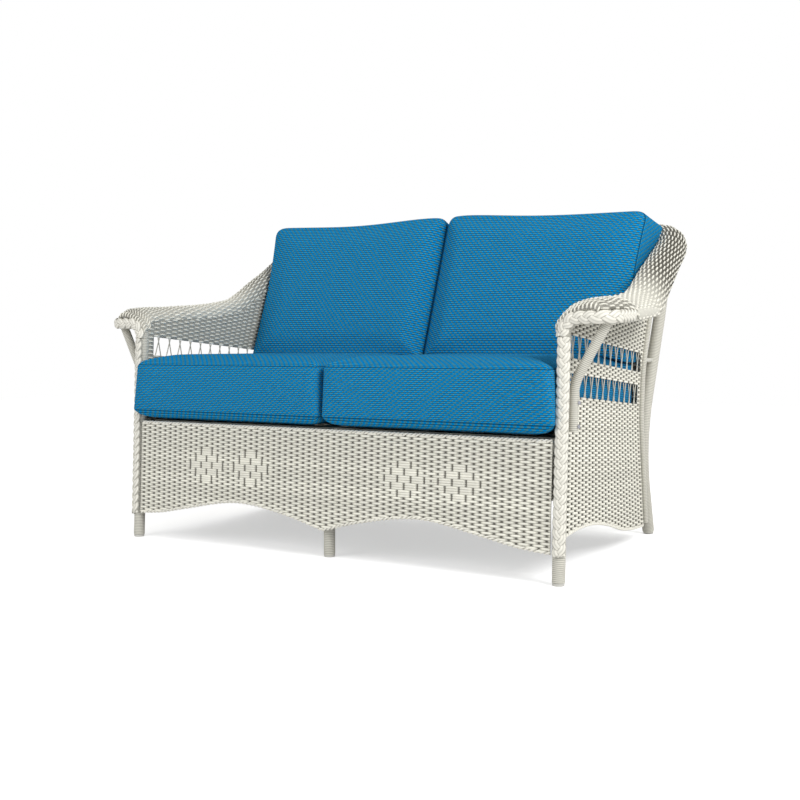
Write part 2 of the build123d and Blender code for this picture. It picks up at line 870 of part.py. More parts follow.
with BuildPart() as cross_straps_layer:
    with BuildSketch(Plane((0, at(strap_depth), cross_strap_low))):
        with GridLocations(0, strap_run / cross_straps, 1, cross_straps):
            Rectangle(2 * side_rail_x, strap_width)
    extrude(amount=strap_thickness)
save(cross_straps_layer.part, "cross_straps")


# Cushions: stacked outlines with drawn-in sides, narrowing towards each crowned face
def outline(plane, width, length, flare):
    """A rectangle with drawn-in sides and round corners, its upper corner flared out on one side."""
    across, along = width / 2, length / 2
    right = across + max(flare, 0)
    left = across + max(-flare, 0)
    with BuildSketch(plane) as face:
        with BuildLine():
            ThreePointArc((-across, -along), (0, -along + side_pull), (across, -along))
            ThreePointArc((across, -along), ((across + right) / 2 - side_pull, 0), (right, along))
            ThreePointArc((right, along), (0, along - side_pull), (-left, along))
            ThreePointArc((-left, along), (side_pull - (across + left) / 2, 0), (-across, -along))
        made = make_face()
        fillet(made.vertices(), cushion_corner)
    return face.sketch.faces()[0]


# height share of a crown, and how far the outline has drawn in, as shares of the seat's depth
crown_shares = [(0.0, 0.0), (0.45, 0.016), (0.74, 0.048), (0.92, 0.11), (1.0, 0.2)]


def cushion_faces(plane, width, length, crowns, thickness, bulge, under_spread, flares):
    """Outlines from the far face of a cushion to its near face."""
    under_crown, crown = crowns
    far_flare, near_flare = flares
    middle_flare = (far_flare + near_flare) / 2
    faces = []
    for rise_share, inset_share in crown_shares[::-1]:
        inset = 2 * inset_share * seat_depth * under_spread
        height = under_crown * (1 - rise_share)
        faces.append(outline(plane.offset(height), width - inset, length - inset, far_flare))
    middle = plane.offset(under_crown + thickness / 2)
    faces.append(outline(middle, width, length + 2 * bulge, middle_flare))
    for rise_share, inset_share in crown_shares:
        inset = 2 * inset_share * seat_depth
        height = under_crown + thickness + crown * rise_share
        faces.append(outline(plane.offset(height), width - inset, length - inset, near_flare))
    return faces


seat_width = half_span - seat_side_gap - cushion_gap
seat_centre_x = cushion_gap + seat_width / 2
seat_centre_depth = seat_depth / 2 - seat_proud
for side, name in sides:
    base = Plane((side * seat_centre_x, at(seat_centre_depth), seat_bottom))
    with BuildPart() as seat_cushion:
        loft(sections=cushion_faces(base, seat_width, seat_depth, (seat_under_crown, seat_crown),
                                    seat_seam_height, seat_bulge, 1, (0, 0)), ruled=True)
    save(seat_cushion.part, f"seat_cushion_{name}")

back_rest_gap = 2
back_cushion_low = seat_bottom + seat_under_crown + seat_seam_height + seat_crown + back_rest_gap
back_foot_run = 18
back_spread = 1.25
back_bulge = 2
back_width = half_span - back_side_gap - cushion_gap
back_centre_x = cushion_gap + back_width / 2
back_up = Vector(0, sin(radians(back_tilt)), cos(radians(back_tilt)))
back_rear = Vector(0, cos(radians(back_tilt)), -sin(radians(back_tilt)))
# The rear face clears the curve of the back at its foot and at each bend above it.
rest_places = [(stile_depth(back_cushion_low), back_cushion_low)]
rest_places += [place for place in stile_places if place[1] > back_cushion_low]
rest_depth = min(depth - (height - back_cushion_low) * tan(radians(back_tilt)) for depth, height in rest_places)
back_depth_step = (back_thickness + back_rear_crown) / cos(radians(back_tilt))
back_front_foot = rest_depth - back_weave_gap - back_depth_step
for side, name in sides:
    front_foot = Vector(side * back_centre_x, at(back_front_foot), back_cushion_low)
    centre = front_foot + back_up * (back_cushion_height / 2 - back_foot_run)
    rear_centre = centre + back_rear * (back_thickness + back_rear_crown)
    base = Plane(origin=rear_centre, x_dir=(1, 0, 0), z_dir=-back_rear)
    with BuildPart() as back_cushion:
        loft(sections=cushion_faces(base, back_width, back_cushion_height, (back_rear_crown, back_crown),
                                    back_thickness, back_bulge, back_spread,
                                    (side * back_rear_flare, side * back_front_flare)), ruled=True)
        split(bisect_by=Plane.XY.offset(back_cushion_low), keep=Keep.TOP)
    save(back_cushion.part, f"back_cushion_{name}")
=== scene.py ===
# %% [markdown]
# # A woven patio loveseat
# The real thing is a bent aluminium frame, wrapped and woven over with round synthetic
# strand, with four loose cushions on it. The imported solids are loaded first, and every
# piece made below lies in the same metres and axes, so nothing is ever fitted afterwards.

# %% Load the frame
import json
from math import cos, pi, radians, sin, tan

import bmesh
import bpy
import numpy as np
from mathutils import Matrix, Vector
from mathutils.kdtree import KDTree


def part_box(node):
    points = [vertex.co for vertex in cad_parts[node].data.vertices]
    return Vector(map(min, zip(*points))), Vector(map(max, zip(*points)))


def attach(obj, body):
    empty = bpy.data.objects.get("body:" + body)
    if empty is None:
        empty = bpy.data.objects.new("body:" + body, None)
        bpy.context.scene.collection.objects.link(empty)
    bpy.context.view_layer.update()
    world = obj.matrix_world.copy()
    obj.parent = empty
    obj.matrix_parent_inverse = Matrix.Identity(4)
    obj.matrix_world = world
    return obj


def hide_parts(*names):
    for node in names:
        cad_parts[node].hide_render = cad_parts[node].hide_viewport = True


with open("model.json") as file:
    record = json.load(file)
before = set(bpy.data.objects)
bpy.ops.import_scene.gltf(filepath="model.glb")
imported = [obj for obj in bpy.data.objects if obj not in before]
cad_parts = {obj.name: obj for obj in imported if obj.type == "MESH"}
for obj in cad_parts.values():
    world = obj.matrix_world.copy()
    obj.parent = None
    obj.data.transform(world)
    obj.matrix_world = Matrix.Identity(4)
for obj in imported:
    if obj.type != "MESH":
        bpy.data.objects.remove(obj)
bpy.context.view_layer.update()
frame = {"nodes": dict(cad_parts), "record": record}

# %% [markdown]
# ## Camera
# The photograph looks at the loveseat from its left front corner, a little above the seat.
# The lens and the place were worked out from the legs, the apron and the arms in it.

# %% Camera
CAMERA_PLACE = (1.4708, -2.6467, 0.5426)
CAMERA_TURN, CAMERA_PITCH, CAMERA_LENS = 29.32, 3.0, 47.4


def deselect():
    """Leaves nothing selected, because an operator acts on all that is."""
    bpy.ops.object.select_all(action="DESELECT")


deselect()
bpy.ops.object.camera_add(location=CAMERA_PLACE,
                          rotation=(radians(90 - CAMERA_PITCH), 0, radians(CAMERA_TURN)))
bpy.context.object.data.lens = CAMERA_LENS
bpy.context.object.data.sensor_width = 36
bpy.context.scene.camera = bpy.context.object
print("camera at", CAMERA_PLACE)

# %% [markdown]
# ## Floor and light
# The object stands on a plain white sweep. The white comes from the colour of the floor and
# of the world as the camera sees them, and not from stronger lamps, so the strand and the
# cloth keep the colours that they are given. The floor still takes a soft shadow.

# %% Floor, world and lamps
FLOOR_SIZE = 14
FLOOR_DROP = 0.0005
FLOOR_LIFT = 0.5
SKY_LIGHT = 0.62


def new_material(name):
    """A material that uses nodes, with its default node tree and principled shader."""
    material = bpy.data.materials.new(name)
    material.use_nodes = True
    tree = material.node_tree
    shader = tree.nodes["Principled BSDF"]
    return material, tree, shader


def floor_finish():
    material, tree, shader = new_material("floor_white")
    shader.inputs["Base Color"].default_value = (0.86, 0.86, 0.86, 1)
    shader.inputs["Roughness"].default_value = 0.9
    shader.inputs["Emission Color"].default_value = (1, 1, 1, 1)
    rays = tree.nodes.new("ShaderNodeLightPath")
    lift = tree.nodes.new("ShaderNodeMath")
    lift.operation = "MULTIPLY"
    lift.inputs[1].default_value = FLOOR_LIFT
    tree.links.new(rays.outputs["Is Camera Ray"], lift.inputs[0])
    tree.links.new(lift.outputs[0], shader.inputs["Emission Strength"])
    return material


def studio_world():
    """White to the camera and to transmission rays, and a softer white as light."""
    world = bpy.data.worlds.new("studio")
    world.use_nodes = True
    tree = world.node_tree
    background = tree.nodes["Background"]
    background.inputs["Color"].default_value = (1, 1, 1, 1)
    rays = tree.nodes.new("ShaderNodeLightPath")
    seen = tree.nodes.new("ShaderNodeMath")
    seen.operation = "MAXIMUM"
    tree.links.new(rays.outputs["Is Camera Ray"], seen.inputs[0])
    tree.links.new(rays.outputs["Is Transmission Ray"], seen.inputs[1])
    strength = tree.nodes.new("ShaderNodeMapRange")
    strength.inputs["To Min"].default_value = SKY_LIGHT
    strength.inputs["To Max"].default_value = 1
    tree.links.new(seen.outputs[0], strength.inputs["Value"])
    tree.links.new(strength.outputs["Result"], background.inputs["Strength"])
    return world


def softbox(name, place, aim, size, power):
    deselect()
    bpy.ops.object.light_add(type="AREA", location=place)
    lamp = bpy.context.object
    lamp.name = name
    lamp.data.size = size
    lamp.data.energy = power
    lamp.rotation_euler = (Vector(aim) - Vector(place)).to_track_quat("-Z", "Y").to_euler()


deselect()
bpy.ops.mesh.primitive_grid_add(x_subdivisions=8, y_subdivisions=8, size=FLOOR_SIZE,
                                location=(0, 0, -FLOOR_DROP))
floor = bpy.context.object
floor.name = "floor"
floor.data.materials.append(floor_finish())
bpy.context.scene.world = studio_world()
softbox("key_softbox", (3.2, -1.2, 2.7), (0.2, 0, 0.4), 1.6, 95)
softbox("front_softbox", (-1.5, -3.6, 2.2), (0, 0, 0.4), 2.0, 40)
bpy.context.scene.view_settings.view_transform = "Standard"
print("floor, world and two softboxes")

# %% [markdown]
# ## Sizes shared with the frame
# The strand follows the tubes, so the lines of the tubes are drawn again here as a frame
# maker would: corner points, joined by bends of a given radius. Depths are counted
# backwards from the line through the front feet, which is read from the feet themselves.

# %% Lines of the tubes
GLIDE_RADIUS = 0.014
LEG_X = 0.63
FRONT_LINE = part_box("front_glides")[0][1] + GLIDE_RADIUS
GLIDE_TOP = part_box("front_glides")[1][2]
LEG_LEAN = radians(2.7)
LEAN = tan(LEG_LEAN)
ARM_HEIGHT = 0.603
POST_TOP = 0.56
ARM_OUT = 0.105
CORNER_X = 0.69
CORNER_DEPTH = 0.855
CORNER_HEIGHT = ARM_HEIGHT + 0.25
WING_SLOPE = 34
SLOPE_Y, SLOPE_Z = cos(radians(WING_SLOPE)), sin(radians(WING_SLOPE))
CORNER_BEND = 0.08
SPLICE = CORNER_BEND + 0.01
PANEL_X = 0.628
TUBE_WRAP = 0.0155


def at(depth):
    return FRONT_LINE + depth


def lean(height):
    return at(height * LEAN)


def running_length(line):
    """How far along a line each of its points is."""
    return np.concatenate([[0], np.cumsum(np.linalg.norm(np.diff(line, axis=0), axis=1))])


def unit(rows):
    """The same directions, each one long."""
    return rows / np.linalg.norm(rows, axis=-1, keepdims=True)


LINE_STEP = 0.003
BEND_PARTS = 16


def evenly(line, step=LINE_STEP):
    """The same line with points at equal steps."""
    along = running_length(line)
    count = max(int(along[-1] / step), 2)
    places = np.linspace(0, along[-1], count + 1)
    return np.stack([np.interp(places, along, line[:, k]) for k in range(3)], axis=1)


def bent_line(corners, bends):
    """Straight runs between corners, joined by arcs, as a tube is bent."""
    corners = [Vector(corner) for corner in corners]
    line = [corners[0]]
    for before, corner, after, bend in zip(corners, corners[1:], corners[2:], bends):
        into = (corner - before).normalized()
        away = (after - corner).normalized()
        turn = into.angle(away)
        start = corner - into * bend * tan(turn / 2)
        inward = (away - into * into.dot(away)).normalized()
        for part in range(BEND_PARTS + 1):
            angle = turn * part / BEND_PARTS
            line.append(start + inward * bend * (1 - cos(angle)) + into * bend * sin(angle))
    line.append(corners[-1])
    return evenly(np.array(line))


def mirrored(line, side):
    return line * np.array([side, 1, 1])


ARM_LINE = bent_line([
    (LEG_X, lean(POST_TOP), POST_TOP),
    (LEG_X, lean(ARM_HEIGHT), ARM_HEIGHT),
    (LEG_X + ARM_OUT, lean(ARM_HEIGHT), ARM_HEIGHT),
    (LEG_X + ARM_OUT, at(0.2), ARM_HEIGHT + 0.009),
    (LEG_X + 0.07, at(0.515), ARM_HEIGHT + 0.029),
    (CORNER_X, at(CORNER_DEPTH - SPLICE * SLOPE_Y), CORNER_HEIGHT - SPLICE * SLOPE_Z),
], [0.038, 0.038, 0.4, 0.07])
TOP_LINE = bent_line([
    (CORNER_X, at(CORNER_DEPTH - SPLICE * SLOPE_Y), CORNER_HEIGHT - SPLICE * SLOPE_Z),
    (CORNER_X, at(CORNER_DEPTH), CORNER_HEIGHT),
    (-CORNER_X, at(CORNER_DEPTH), CORNER_HEIGHT),
    (-CORNER_X, at(CORNER_DEPTH - SPLICE * SLOPE_Y), CORNER_HEIGHT - SPLICE * SLOPE_Z),
], [CORNER_BEND, CORNER_BEND])
POST_LINE = bent_line([(LEG_X, lean(GLIDE_TOP), GLIDE_TOP), (LEG_X, lean(POST_TOP), POST_TOP)], [])
BACK_LEG_LINE = bent_line([
    (0.62, at(0.751), 0), (0.62, at(0.655), 0.27), (0.64, at(0.765), 0.625),
    (0.64, at(CORNER_DEPTH), CORNER_HEIGHT),
], [0.42, 0.5])
STILE_X, STILE_RADIUS = 0.6333, 0.008
# depth and height of the stile's ends and bends, and the radii of the two bends
STILE_PLACES = [(0.672, 0.045), (0.617, 0.34), (0.63, 0.48), (0.765, 0.8)]
STILE_BENDS = [0.3, 0.35]
STILE_LINE = bent_line([(STILE_X, at(d), h) for d, h in STILE_PLACES], STILE_BENDS)
CENTRE_LEG_DEPTH, CENTRE_LEG_TOP = 0.022, 0.299
CENTRE_LEG_LINE = bent_line([(0, at(CENTRE_LEG_DEPTH), GLIDE_TOP),
                             (0, at(CENTRE_LEG_DEPTH), CENTRE_LEG_TOP)], [])
BRACE_RADIUS = 0.012
BRACE_REACH = TUBE_WRAP + BRACE_RADIUS
BRACE_TURN = radians(40)
BRACE_X = LEG_X + BRACE_REACH * sin(BRACE_TURN)
BRACE_BACK = BRACE_REACH * cos(BRACE_TURN)
BRACE_FOOT, BRACE_BEND_HEIGHT = 0.345, 0.455
BRACE_LINE = bent_line([
    (BRACE_X, lean(BRACE_FOOT) + BRACE_BACK, BRACE_FOOT),
    (BRACE_X, lean(BRACE_BEND_HEIGHT) + BRACE_BACK, BRACE_BEND_HEIGHT),
    (0.728, at(0.05), ARM_HEIGHT),
], [0.12])
print("arm tube line has", len(ARM_LINE), "points")

# %% [markdown]
# ## Strand stock
# All the strand is one kind of stock: a straight closed strand of unit radius along X, made
# of rings one unit apart. It starts as a short open cylinder, an array repeats it into a
# strand, and a second array lays strands side by side for cloth. Each weave, wrap, plait and
# rope below closes the ends of this stock and moves its points, and a weave also cuts it to
# its outline first.

# %% Stock and placing helpers
ROW_STEP = 10


def add_array(piece, name, count, step, weld):
    array = piece.modifiers.new(name, "ARRAY")
    array.count = count
    array.use_relative_offset = False
    array.use_constant_offset = True
    array.constant_offset_displace = step
    array.use_merge_vertices = weld
    array.merge_threshold = 0.01
    bpy.ops.object.modifier_apply(modifier=name)


def strand_stock(name, rings, sides, rows=1):
    """Open strands along X, in rows that lie ROW_STEP apart."""
    deselect()
    bpy.ops.mesh.primitive_cylinder_add(vertices=sides, radius=1, depth=1, end_fill_type="NOTHING",
                                        location=(0.5, 0, 0), rotation=(0, radians(90), 0))
    bpy.ops.object.transform_apply(location=True, rotation=True, scale=True)
    piece = bpy.context.object
    piece.name = name
    add_array(piece, "along", rings, (1, 0, 0), True)
    if rows > 1:
        add_array(piece, "across", rows, (0, ROW_STEP, 0), False)
    return piece


def close_ends(piece, sides):
    """Caps each open end of a strand."""
    make_active(piece)
    bpy.ops.object.mode_set(mode="EDIT")
    bpy.ops.mesh.select_all(action="SELECT")
    bpy.ops.mesh.fill_holes(sides=sides)
    bpy.ops.object.mode_set(mode="OBJECT")


def make_active(piece):
    deselect()
    piece.select_set(True)
    bpy.context.view_layer.objects.active = piece


def read_points(piece):
    points = np.empty(len(piece.data.vertices) * 3)
    piece.data.vertices.foreach_get("co", points)
    return points.reshape(-1, 3)


def write_points(piece, points):
    piece.data.vertices.foreach_set("co", np.ascontiguousarray(points, dtype=float).ravel())
    piece.data.update()


def write_values(piece, name, values):
    """A value at each point, which the finishes read."""
    layer = piece.data.attributes.get(name)
    layer = layer or piece.data.attributes.new(name=name, type="FLOAT", domain="POINT")
    layer.data.foreach_set("value", np.ascontiguousarray(values, dtype=float))


def turn_outwards(piece):
    """Points all faces outwards, each shell by itself."""
    make_active(piece)
    bpy.ops.object.mode_set(mode="EDIT")
    bpy.ops.mesh.select_all(action="SELECT")
    bpy.ops.mesh.normals_make_consistent(inside=False)
    bpy.ops.object.mode_set(mode="OBJECT")


def smooth(piece):
    make_active(piece)
    bpy.ops.object.shade_smooth()


def join(pieces):
    """Joins pieces into the first one, which keeps its name."""
    make_active(pieces[0])
    for piece in pieces[1:]:
        piece.select_set(True)
    bpy.ops.object.join()
    return pieces[0]


def finish_piece(piece, name, nodes, body="frame"):
    """Names a piece, lets it ride on its body and stand for its solids."""
    piece.name = name
    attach(piece, body)
    if nodes:
        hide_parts(*nodes)
    print(name, len(piece.data.polygons), "faces")


# %% [markdown]
# ## Colour and sheen of the strand
# The strand is extruded plastic, off white with a low sheen, and it never has quite one
# tone. A shared group gives each finish its mottling, painted shade in its crevices and a
# fine grain. The painted shade was written on the points by each weave, so it holds from
# every side.

# %% Shared group for strand
def strand_group():
    group = bpy.data.node_groups.new("strand_tone_and_shade", "ShaderNodeTree")
    face = group.interface
    for name, kind, value in (("Colour", "NodeSocketColor", (0.9, 0.89, 0.82, 1)),
                              ("Painted shade colour", "NodeSocketColor", (0.06, 0.055, 0.04, 1)),
                              ("Mottle", "NodeSocketFloat", 0.06),
                              ("Roughness", "NodeSocketFloat", 0.5)):
        face.new_socket(name=name, in_out="INPUT", socket_type=kind).default_value = value
    face.new_socket(name="Colour", in_out="OUTPUT", socket_type="NodeSocketColor")
    face.new_socket(name="Roughness", in_out="OUTPUT", socket_type="NodeSocketFloat")
    face.new_socket(name="Height", in_out="OUTPUT", socket_type="NodeSocketFloat")
    nodes, links = group.nodes, group.links
    given, result = nodes.new("NodeGroupInput"), nodes.new("NodeGroupOutput")
    place = nodes.new("ShaderNodeTexCoord")
    shade = nodes.new("ShaderNodeAttribute")
    shade.attribute_name = "shade"
    mottle = nodes.new("ShaderNodeTexNoise")
    mottle.inputs["Scale"].default_value = 55
    mottle.inputs["Detail"].default_value = 3
    grain = nodes.new("ShaderNodeTexNoise")
    grain.inputs["Scale"].default_value = 900
    spread = nodes.new("ShaderNodeMath")
    spread.operation = "MULTIPLY_ADD"
    spread.inputs[2].default_value = 1
    centred = nodes.new("ShaderNodeMath")
    centred.operation = "SUBTRACT"
    centred.inputs[1].default_value = 0.5
    toned = nodes.new("ShaderNodeVectorMath")
    toned.operation = "SCALE"
    mix = nodes.new("ShaderNodeMix")
    mix.data_type = "RGBA"
    rough = nodes.new("ShaderNodeMath")
    rough.operation = "MULTIPLY_ADD"
    rough.inputs[1].default_value = 0.12
    links.new(place.outputs["Object"], mottle.inputs["Vector"])
    links.new(place.outputs["Object"], grain.inputs["Vector"])
    links.new(mottle.outputs["Fac"], centred.inputs[0])
    links.new(centred.outputs[0], spread.inputs[0])
    links.new(given.outputs["Mottle"], spread.inputs[1])
    links.new(given.outputs["Colour"], toned.inputs[0])
    links.new(spread.outputs[0], toned.inputs["Scale"])
    # painted shade: the shade value on the points mixes the painted shade colour into the strand's own tone
    links.new(shade.outputs["Fac"], mix.inputs["Factor"])
    links.new(given.outputs["Painted shade colour"], mix.inputs["A"])
    links.new(toned.outputs[0], mix.inputs["B"])
    links.new(mix.outputs["Result"], result.inputs["Colour"])
    links.new(grain.outputs["Fac"], rough.inputs[0])
    links.new(given.outputs["Roughness"], rough.inputs[2])
    links.new(rough.outputs[0], result.inputs["Roughness"])
    links.new(grain.outputs["Fac"], result.inputs["Height"])
    return group


STRAND_GROUP = strand_group()


def strand_finish(name, colour, shade_colour, mottle, roughness):
    material, tree, shader = new_material(name)
    tone = tree.nodes.new("ShaderNodeGroup")
    tone.node_tree = STRAND_GROUP
    tone.inputs["Colour"].default_value = (*colour, 1)
    tone.inputs["Painted shade colour"].default_value = (*shade_colour, 1)
    tone.inputs["Mottle"].default_value = mottle
    tone.inputs["Roughness"].default_value = roughness
    bump = tree.nodes.new("ShaderNodeBump")
    bump.inputs["Strength"].default_value = 0.12
    bump.inputs["Distance"].default_value = 0.0004
    tree.links.new(tone.outputs["Colour"], shader.inputs["Base Color"])
    tree.links.new(tone.outputs["Roughness"], shader.inputs["Roughness"])
    tree.links.new(tone.outputs["Height"], bump.inputs["Height"])
    tree.links.new(bump.outputs["Normal"], shader.inputs["Normal"])
    shader.inputs["Specular IOR Level"].default_value = 0.35
    return material


# the second colour of each strand finish is its painted shade colour
WOVEN = strand_finish("woven_strand", (0.885, 0.865, 0.765), (0.055, 0.05, 0.036),
                      mottle=0.22, roughness=0.46)
PLAITED = strand_finish("plaited_strand", (0.81, 0.79, 0.71), (0.13, 0.12, 0.09),
                        mottle=0.14, roughness=0.42)
WRAPPED = strand_finish("wrapped_strand", (0.73, 0.715, 0.635), (0.20, 0.19, 0.155),
                        mottle=0.2, roughness=0.5)
print("strand finishes made")

# %% [markdown]
# ## Woven cloth
# On the real seat, weft strands run lengthwise and pass in front of and behind upright
# stakes in turn, and the next row does the opposite. That leaves small dark gaps in a
# staggered pattern. Here the stock is cut to the outline while it is still flat and
# regular, waved over and under, and then laid on the surface that carries it. A thin web in
# the middle, painted dark as shade, stands for the deep of the weave, which no light reaches.
# The gaps, the stakes and the parts of a strand that dive behind are painted darker as shade.

# %% Weaving helpers
STEPS_PER_STAKE = 4
STRAND_SIDES = 6
WAVE = 0.0022
STRAND_THICK = 0.0016
FRONT_SPREAD = 0.1
BEHIND_RISE = 1.3
# painted light and shade of the weft: its sides take this share, its proud faces full light, the faces that
# dive behind painted shade
SIDE_LIGHT = 0.66
ROW_TONE = 0.84
PLAIN_DIVE = 3.4
STAKE_SIDES = 5
STAKE_RADIUS = 0.0013
# the stakes and the web take the gaps' painted shade, darker by these shares
STAKE_SHADE_SHARE, WEB_SHADE_SHARE = 0.75, 0.6
WEB_THICK = 0.0006
rng = np.random.default_rng(7)


def trim(piece, keep):
    """Deletes the faces of flat stock that the outline doesn't keep."""
    mesh = piece.data
    centres = np.empty(len(mesh.polygons) * 3)
    mesh.polygons.foreach_get("center", centres)
    centres = centres.reshape(-1, 3)
    outside = ~keep(centres[:, 0], centres[:, 1])
    mesh.vertices.foreach_set("select", np.zeros(len(mesh.vertices), dtype=bool))
    mesh.edges.foreach_set("select", np.zeros(len(mesh.edges), dtype=bool))
    mesh.polygons.foreach_set("select", outside)
    bpy.context.tool_settings.mesh_select_mode = (False, False, True)
    make_active(piece)
    bpy.ops.object.mode_set(mode="EDIT")
    bpy.ops.mesh.delete(type="FACE")
    bpy.ops.object.mode_set(mode="OBJECT")
    bpy.context.tool_settings.mesh_select_mode = (True, False, False)


def over_under(stake, row):
    """Plain weave: in front at every second stake, and the next row the other way."""
    return np.where((stake + row) % 2 == 0, 1.0, -1.0)


def wave_height(place, row, sign, dive):
    """How far in front a weft strand is, between its stakes, from -1 to 1. A larger dive
    keeps the strand in front for longer, and it then dips more steeply behind a stake."""
    before = np.floor(place - 0.5)
    part = place - 0.5 - before
    turn = (1 - np.cos(pi * part)) / 2
    first, second = sign(before, row), sign(before + 1, row)
    height = first * (1 - turn) + second * turn
    behind = (first < 0) & (second < 0)
    height = np.where(behind, -1 + BEHIND_RISE * np.sin(pi * part), height)
    return 1 - 2 * ((1 - height) / 2) ** dive(place, row)


def even_dive(power):
    """The same dive in the whole of a weave."""
    return lambda place, row: power


def even_gaps(before, behind):
    """The painted shade in a weave's gaps on its two sides: 0 is dark, 1 as light as the strand."""
    return lambda along, up, front: np.where(front < 0, behind, before)


def weave(name, stakes, rows, pitch, row_pitch, keep, lay, gaps, sign=over_under,
          dive=even_dive(PLAIN_DIVE)):
    """A woven cloth: weft, stakes and the web between them, laid on a surface, with painted
    shade in the gaps, on the stakes and the web, and where a strand dives behind.
    keep, lay and gaps read places in metres along the weft and up the rows. A strand is a
    little wider in front than behind, and each row has a tone of its own."""
    half_width = row_pitch / 2
    weft = strand_stock(name, stakes * STEPS_PER_STAKE, STRAND_SIDES, rows)
    step = pitch / STEPS_PER_STAKE
    trim(weft, lambda x, y: keep(x * step, (np.round(y / ROW_STEP) + 0.5) * row_pitch))
    close_ends(weft, STRAND_SIDES)
    points = read_points(weft)
    row = np.round(points[:, 1] / ROW_STEP)
    aside, front = points[:, 1] - row * ROW_STEP, points[:, 2]
    height = wave_height(points[:, 0] / STEPS_PER_STAKE, row, sign, dive)
    up = (row + 0.5) * row_pitch + aside * half_width * (1 + FRONT_SPREAD * height)
    tone = (ROW_TONE + (1 - ROW_TONE) * rng.random(rows + 1) ** 2)[row.astype(int)]
    gap = gaps(points[:, 0] * step, up, front)
    # painted shade: a strand's sides and the parts that dive behind are darker, and the gaps take the
    # weave's painted shade
    lit = np.clip(SIDE_LIGHT + SIDE_LIGHT * front * height, 0, 1)
    write_values(weft, "shade", (gap + (1 - gap) * lit) * tone)
    write_points(weft, lay(points[:, 0] * step, up, WAVE * height + STRAND_THICK * front))
    weft.data.materials.append(WOVEN)

    upright = strand_stock(name + "_stakes", rows, STAKE_SIDES, stakes)
    trim(upright, lambda x, y: keep((np.round(y / ROW_STEP) + 0.5) * pitch, x * row_pitch))
    close_ends(upright, STAKE_SIDES)
    points = read_points(upright)
    stake = np.round(points[:, 1] / ROW_STEP)
    along = (stake + 0.5) * pitch + (points[:, 1] - stake * ROW_STEP) * STAKE_RADIUS
    up = points[:, 0] * row_pitch
    # painted shade: the stakes take the gaps' shade, darker still
    write_values(upright, "shade", STAKE_SHADE_SHARE * gaps(along, up, points[:, 2]))
    write_points(upright, lay(along, up, points[:, 2] * STAKE_RADIUS))
    upright.data.materials.append(WOVEN)
    web = shade_web(name, stakes, rows, pitch, row_pitch, keep, lay, gaps)
    cloth = join([weft, upright, web])
    turn_outwards(cloth)
    smooth(cloth)
    return cloth


def shade_web(name, stakes, rows, pitch, row_pitch, keep, lay, gaps):
    """The web in the middle of the weave, painted dark as shade."""
    deselect()
    bpy.ops.mesh.primitive_grid_add(x_subdivisions=stakes * 2, y_subdivisions=rows, size=2)
    web = bpy.context.object
    web.name = name + "_web"
    points = read_points(web)
    points[:, 0] = (points[:, 0] + 1) / 2 * stakes * pitch
    points[:, 1] = (points[:, 1] + 1) / 2 * rows * row_pitch
    write_points(web, points)
    trim(web, keep)
    wall = web.modifiers.new("wall", "SOLIDIFY")
    wall.thickness = WEB_THICK
    wall.offset = 0
    bpy.ops.object.modifier_apply(modifier="wall")
    points = read_points(web)
    # painted shade: the web takes the gaps' shade, darker still
    write_values(web, "shade", WEB_SHADE_SHARE * gaps(*points.T))
    write_points(web, lay(*points.T))
    web.data.materials.append(WOVEN)
    return web


def smooth_between(x, places, values):
    """A smooth curve through given points, read at x."""
    places, values = np.asarray(places, float), np.asarray(values, float)
    x = np.clip(x, places[0], places[-1])
    slopes = np.gradient(values, places, axis=0)
    left = np.clip(np.searchsorted(places, x) - 1, 0, len(places) - 2)
    span = places[left + 1] - places[left]
    t = (x - places[left]) / span
    if values.ndim > 1:
        t, span = t[:, None], span[:, None]
    return (values[left] * (1 + 2 * t) * (1 - t) ** 2 + values[left + 1] * t ** 2 * (3 - 2 * t)
            + span * (slopes[left] * t * (1 - t) ** 2 - slopes[left + 1] * t ** 2 * (1 - t)))


# %% [markdown]
# ## Front apron
# The apron is the broad woven band between the front legs. Its lower edge has two arches,
# and two pairs of diamonds are woven into it: inside a diamond three rows at a time pass
# together over two stakes, so the strands lie as smooth little bricks.

# %% Weave the front apron
APRON_REACH = 0.6135
APRON_LOW, APRON_TOP = 0.072, 0.325
APRON_ROWS, APRON_STAKES = 43, 66
APRON_ROW = (APRON_TOP - APRON_LOW) / APRON_ROWS
APRON_PITCH = 2 * APRON_REACH / APRON_STAKES
APRON_PROUD = 0.012
ARCH_ACROSS = [0.0, 0.175, 0.44, 0.735, 0.87, 1.0]
ARCH_UP = [0.02, 0.56, 1.0, 0.46, 0.15, 0.0]
APRON_ARCH = 0.052
# painted shade in the apron's gaps, on its front face and its back face
APRON_GAPS = even_gaps(0.16, 0.3)
APRON_DIVE = 4.2
# the stakes in the middle of the diamonds, and their middle block of rows
DIAMOND_STAKES = (12, 20, 45, 53)
DIAMOND_BLOCK = 8
BLOCK_ROWS, DIAMOND_REACH = 3, 2
DIAMOND_DIVE, DIAMOND_SPARE = 12.0, 0.9


def arch(x, low, rise):
    """Height of an arched lower edge across the seat."""
    return low + rise * smooth_between(np.abs(x) / APRON_REACH, ARCH_ACROSS, ARCH_UP)


def in_diamond(off, row, spare=0.0):
    """Whether a place, counted in stakes from a diamond's middle, is in that diamond, and
    which block of rows it is in."""
    block = np.floor((row + 1) / BLOCK_ROWS) - DIAMOND_BLOCK
    reach = DIAMOND_REACH + 1 - np.abs(block) + spare
    return (np.abs(block) <= DIAMOND_REACH) & (np.abs(off) <= reach), block


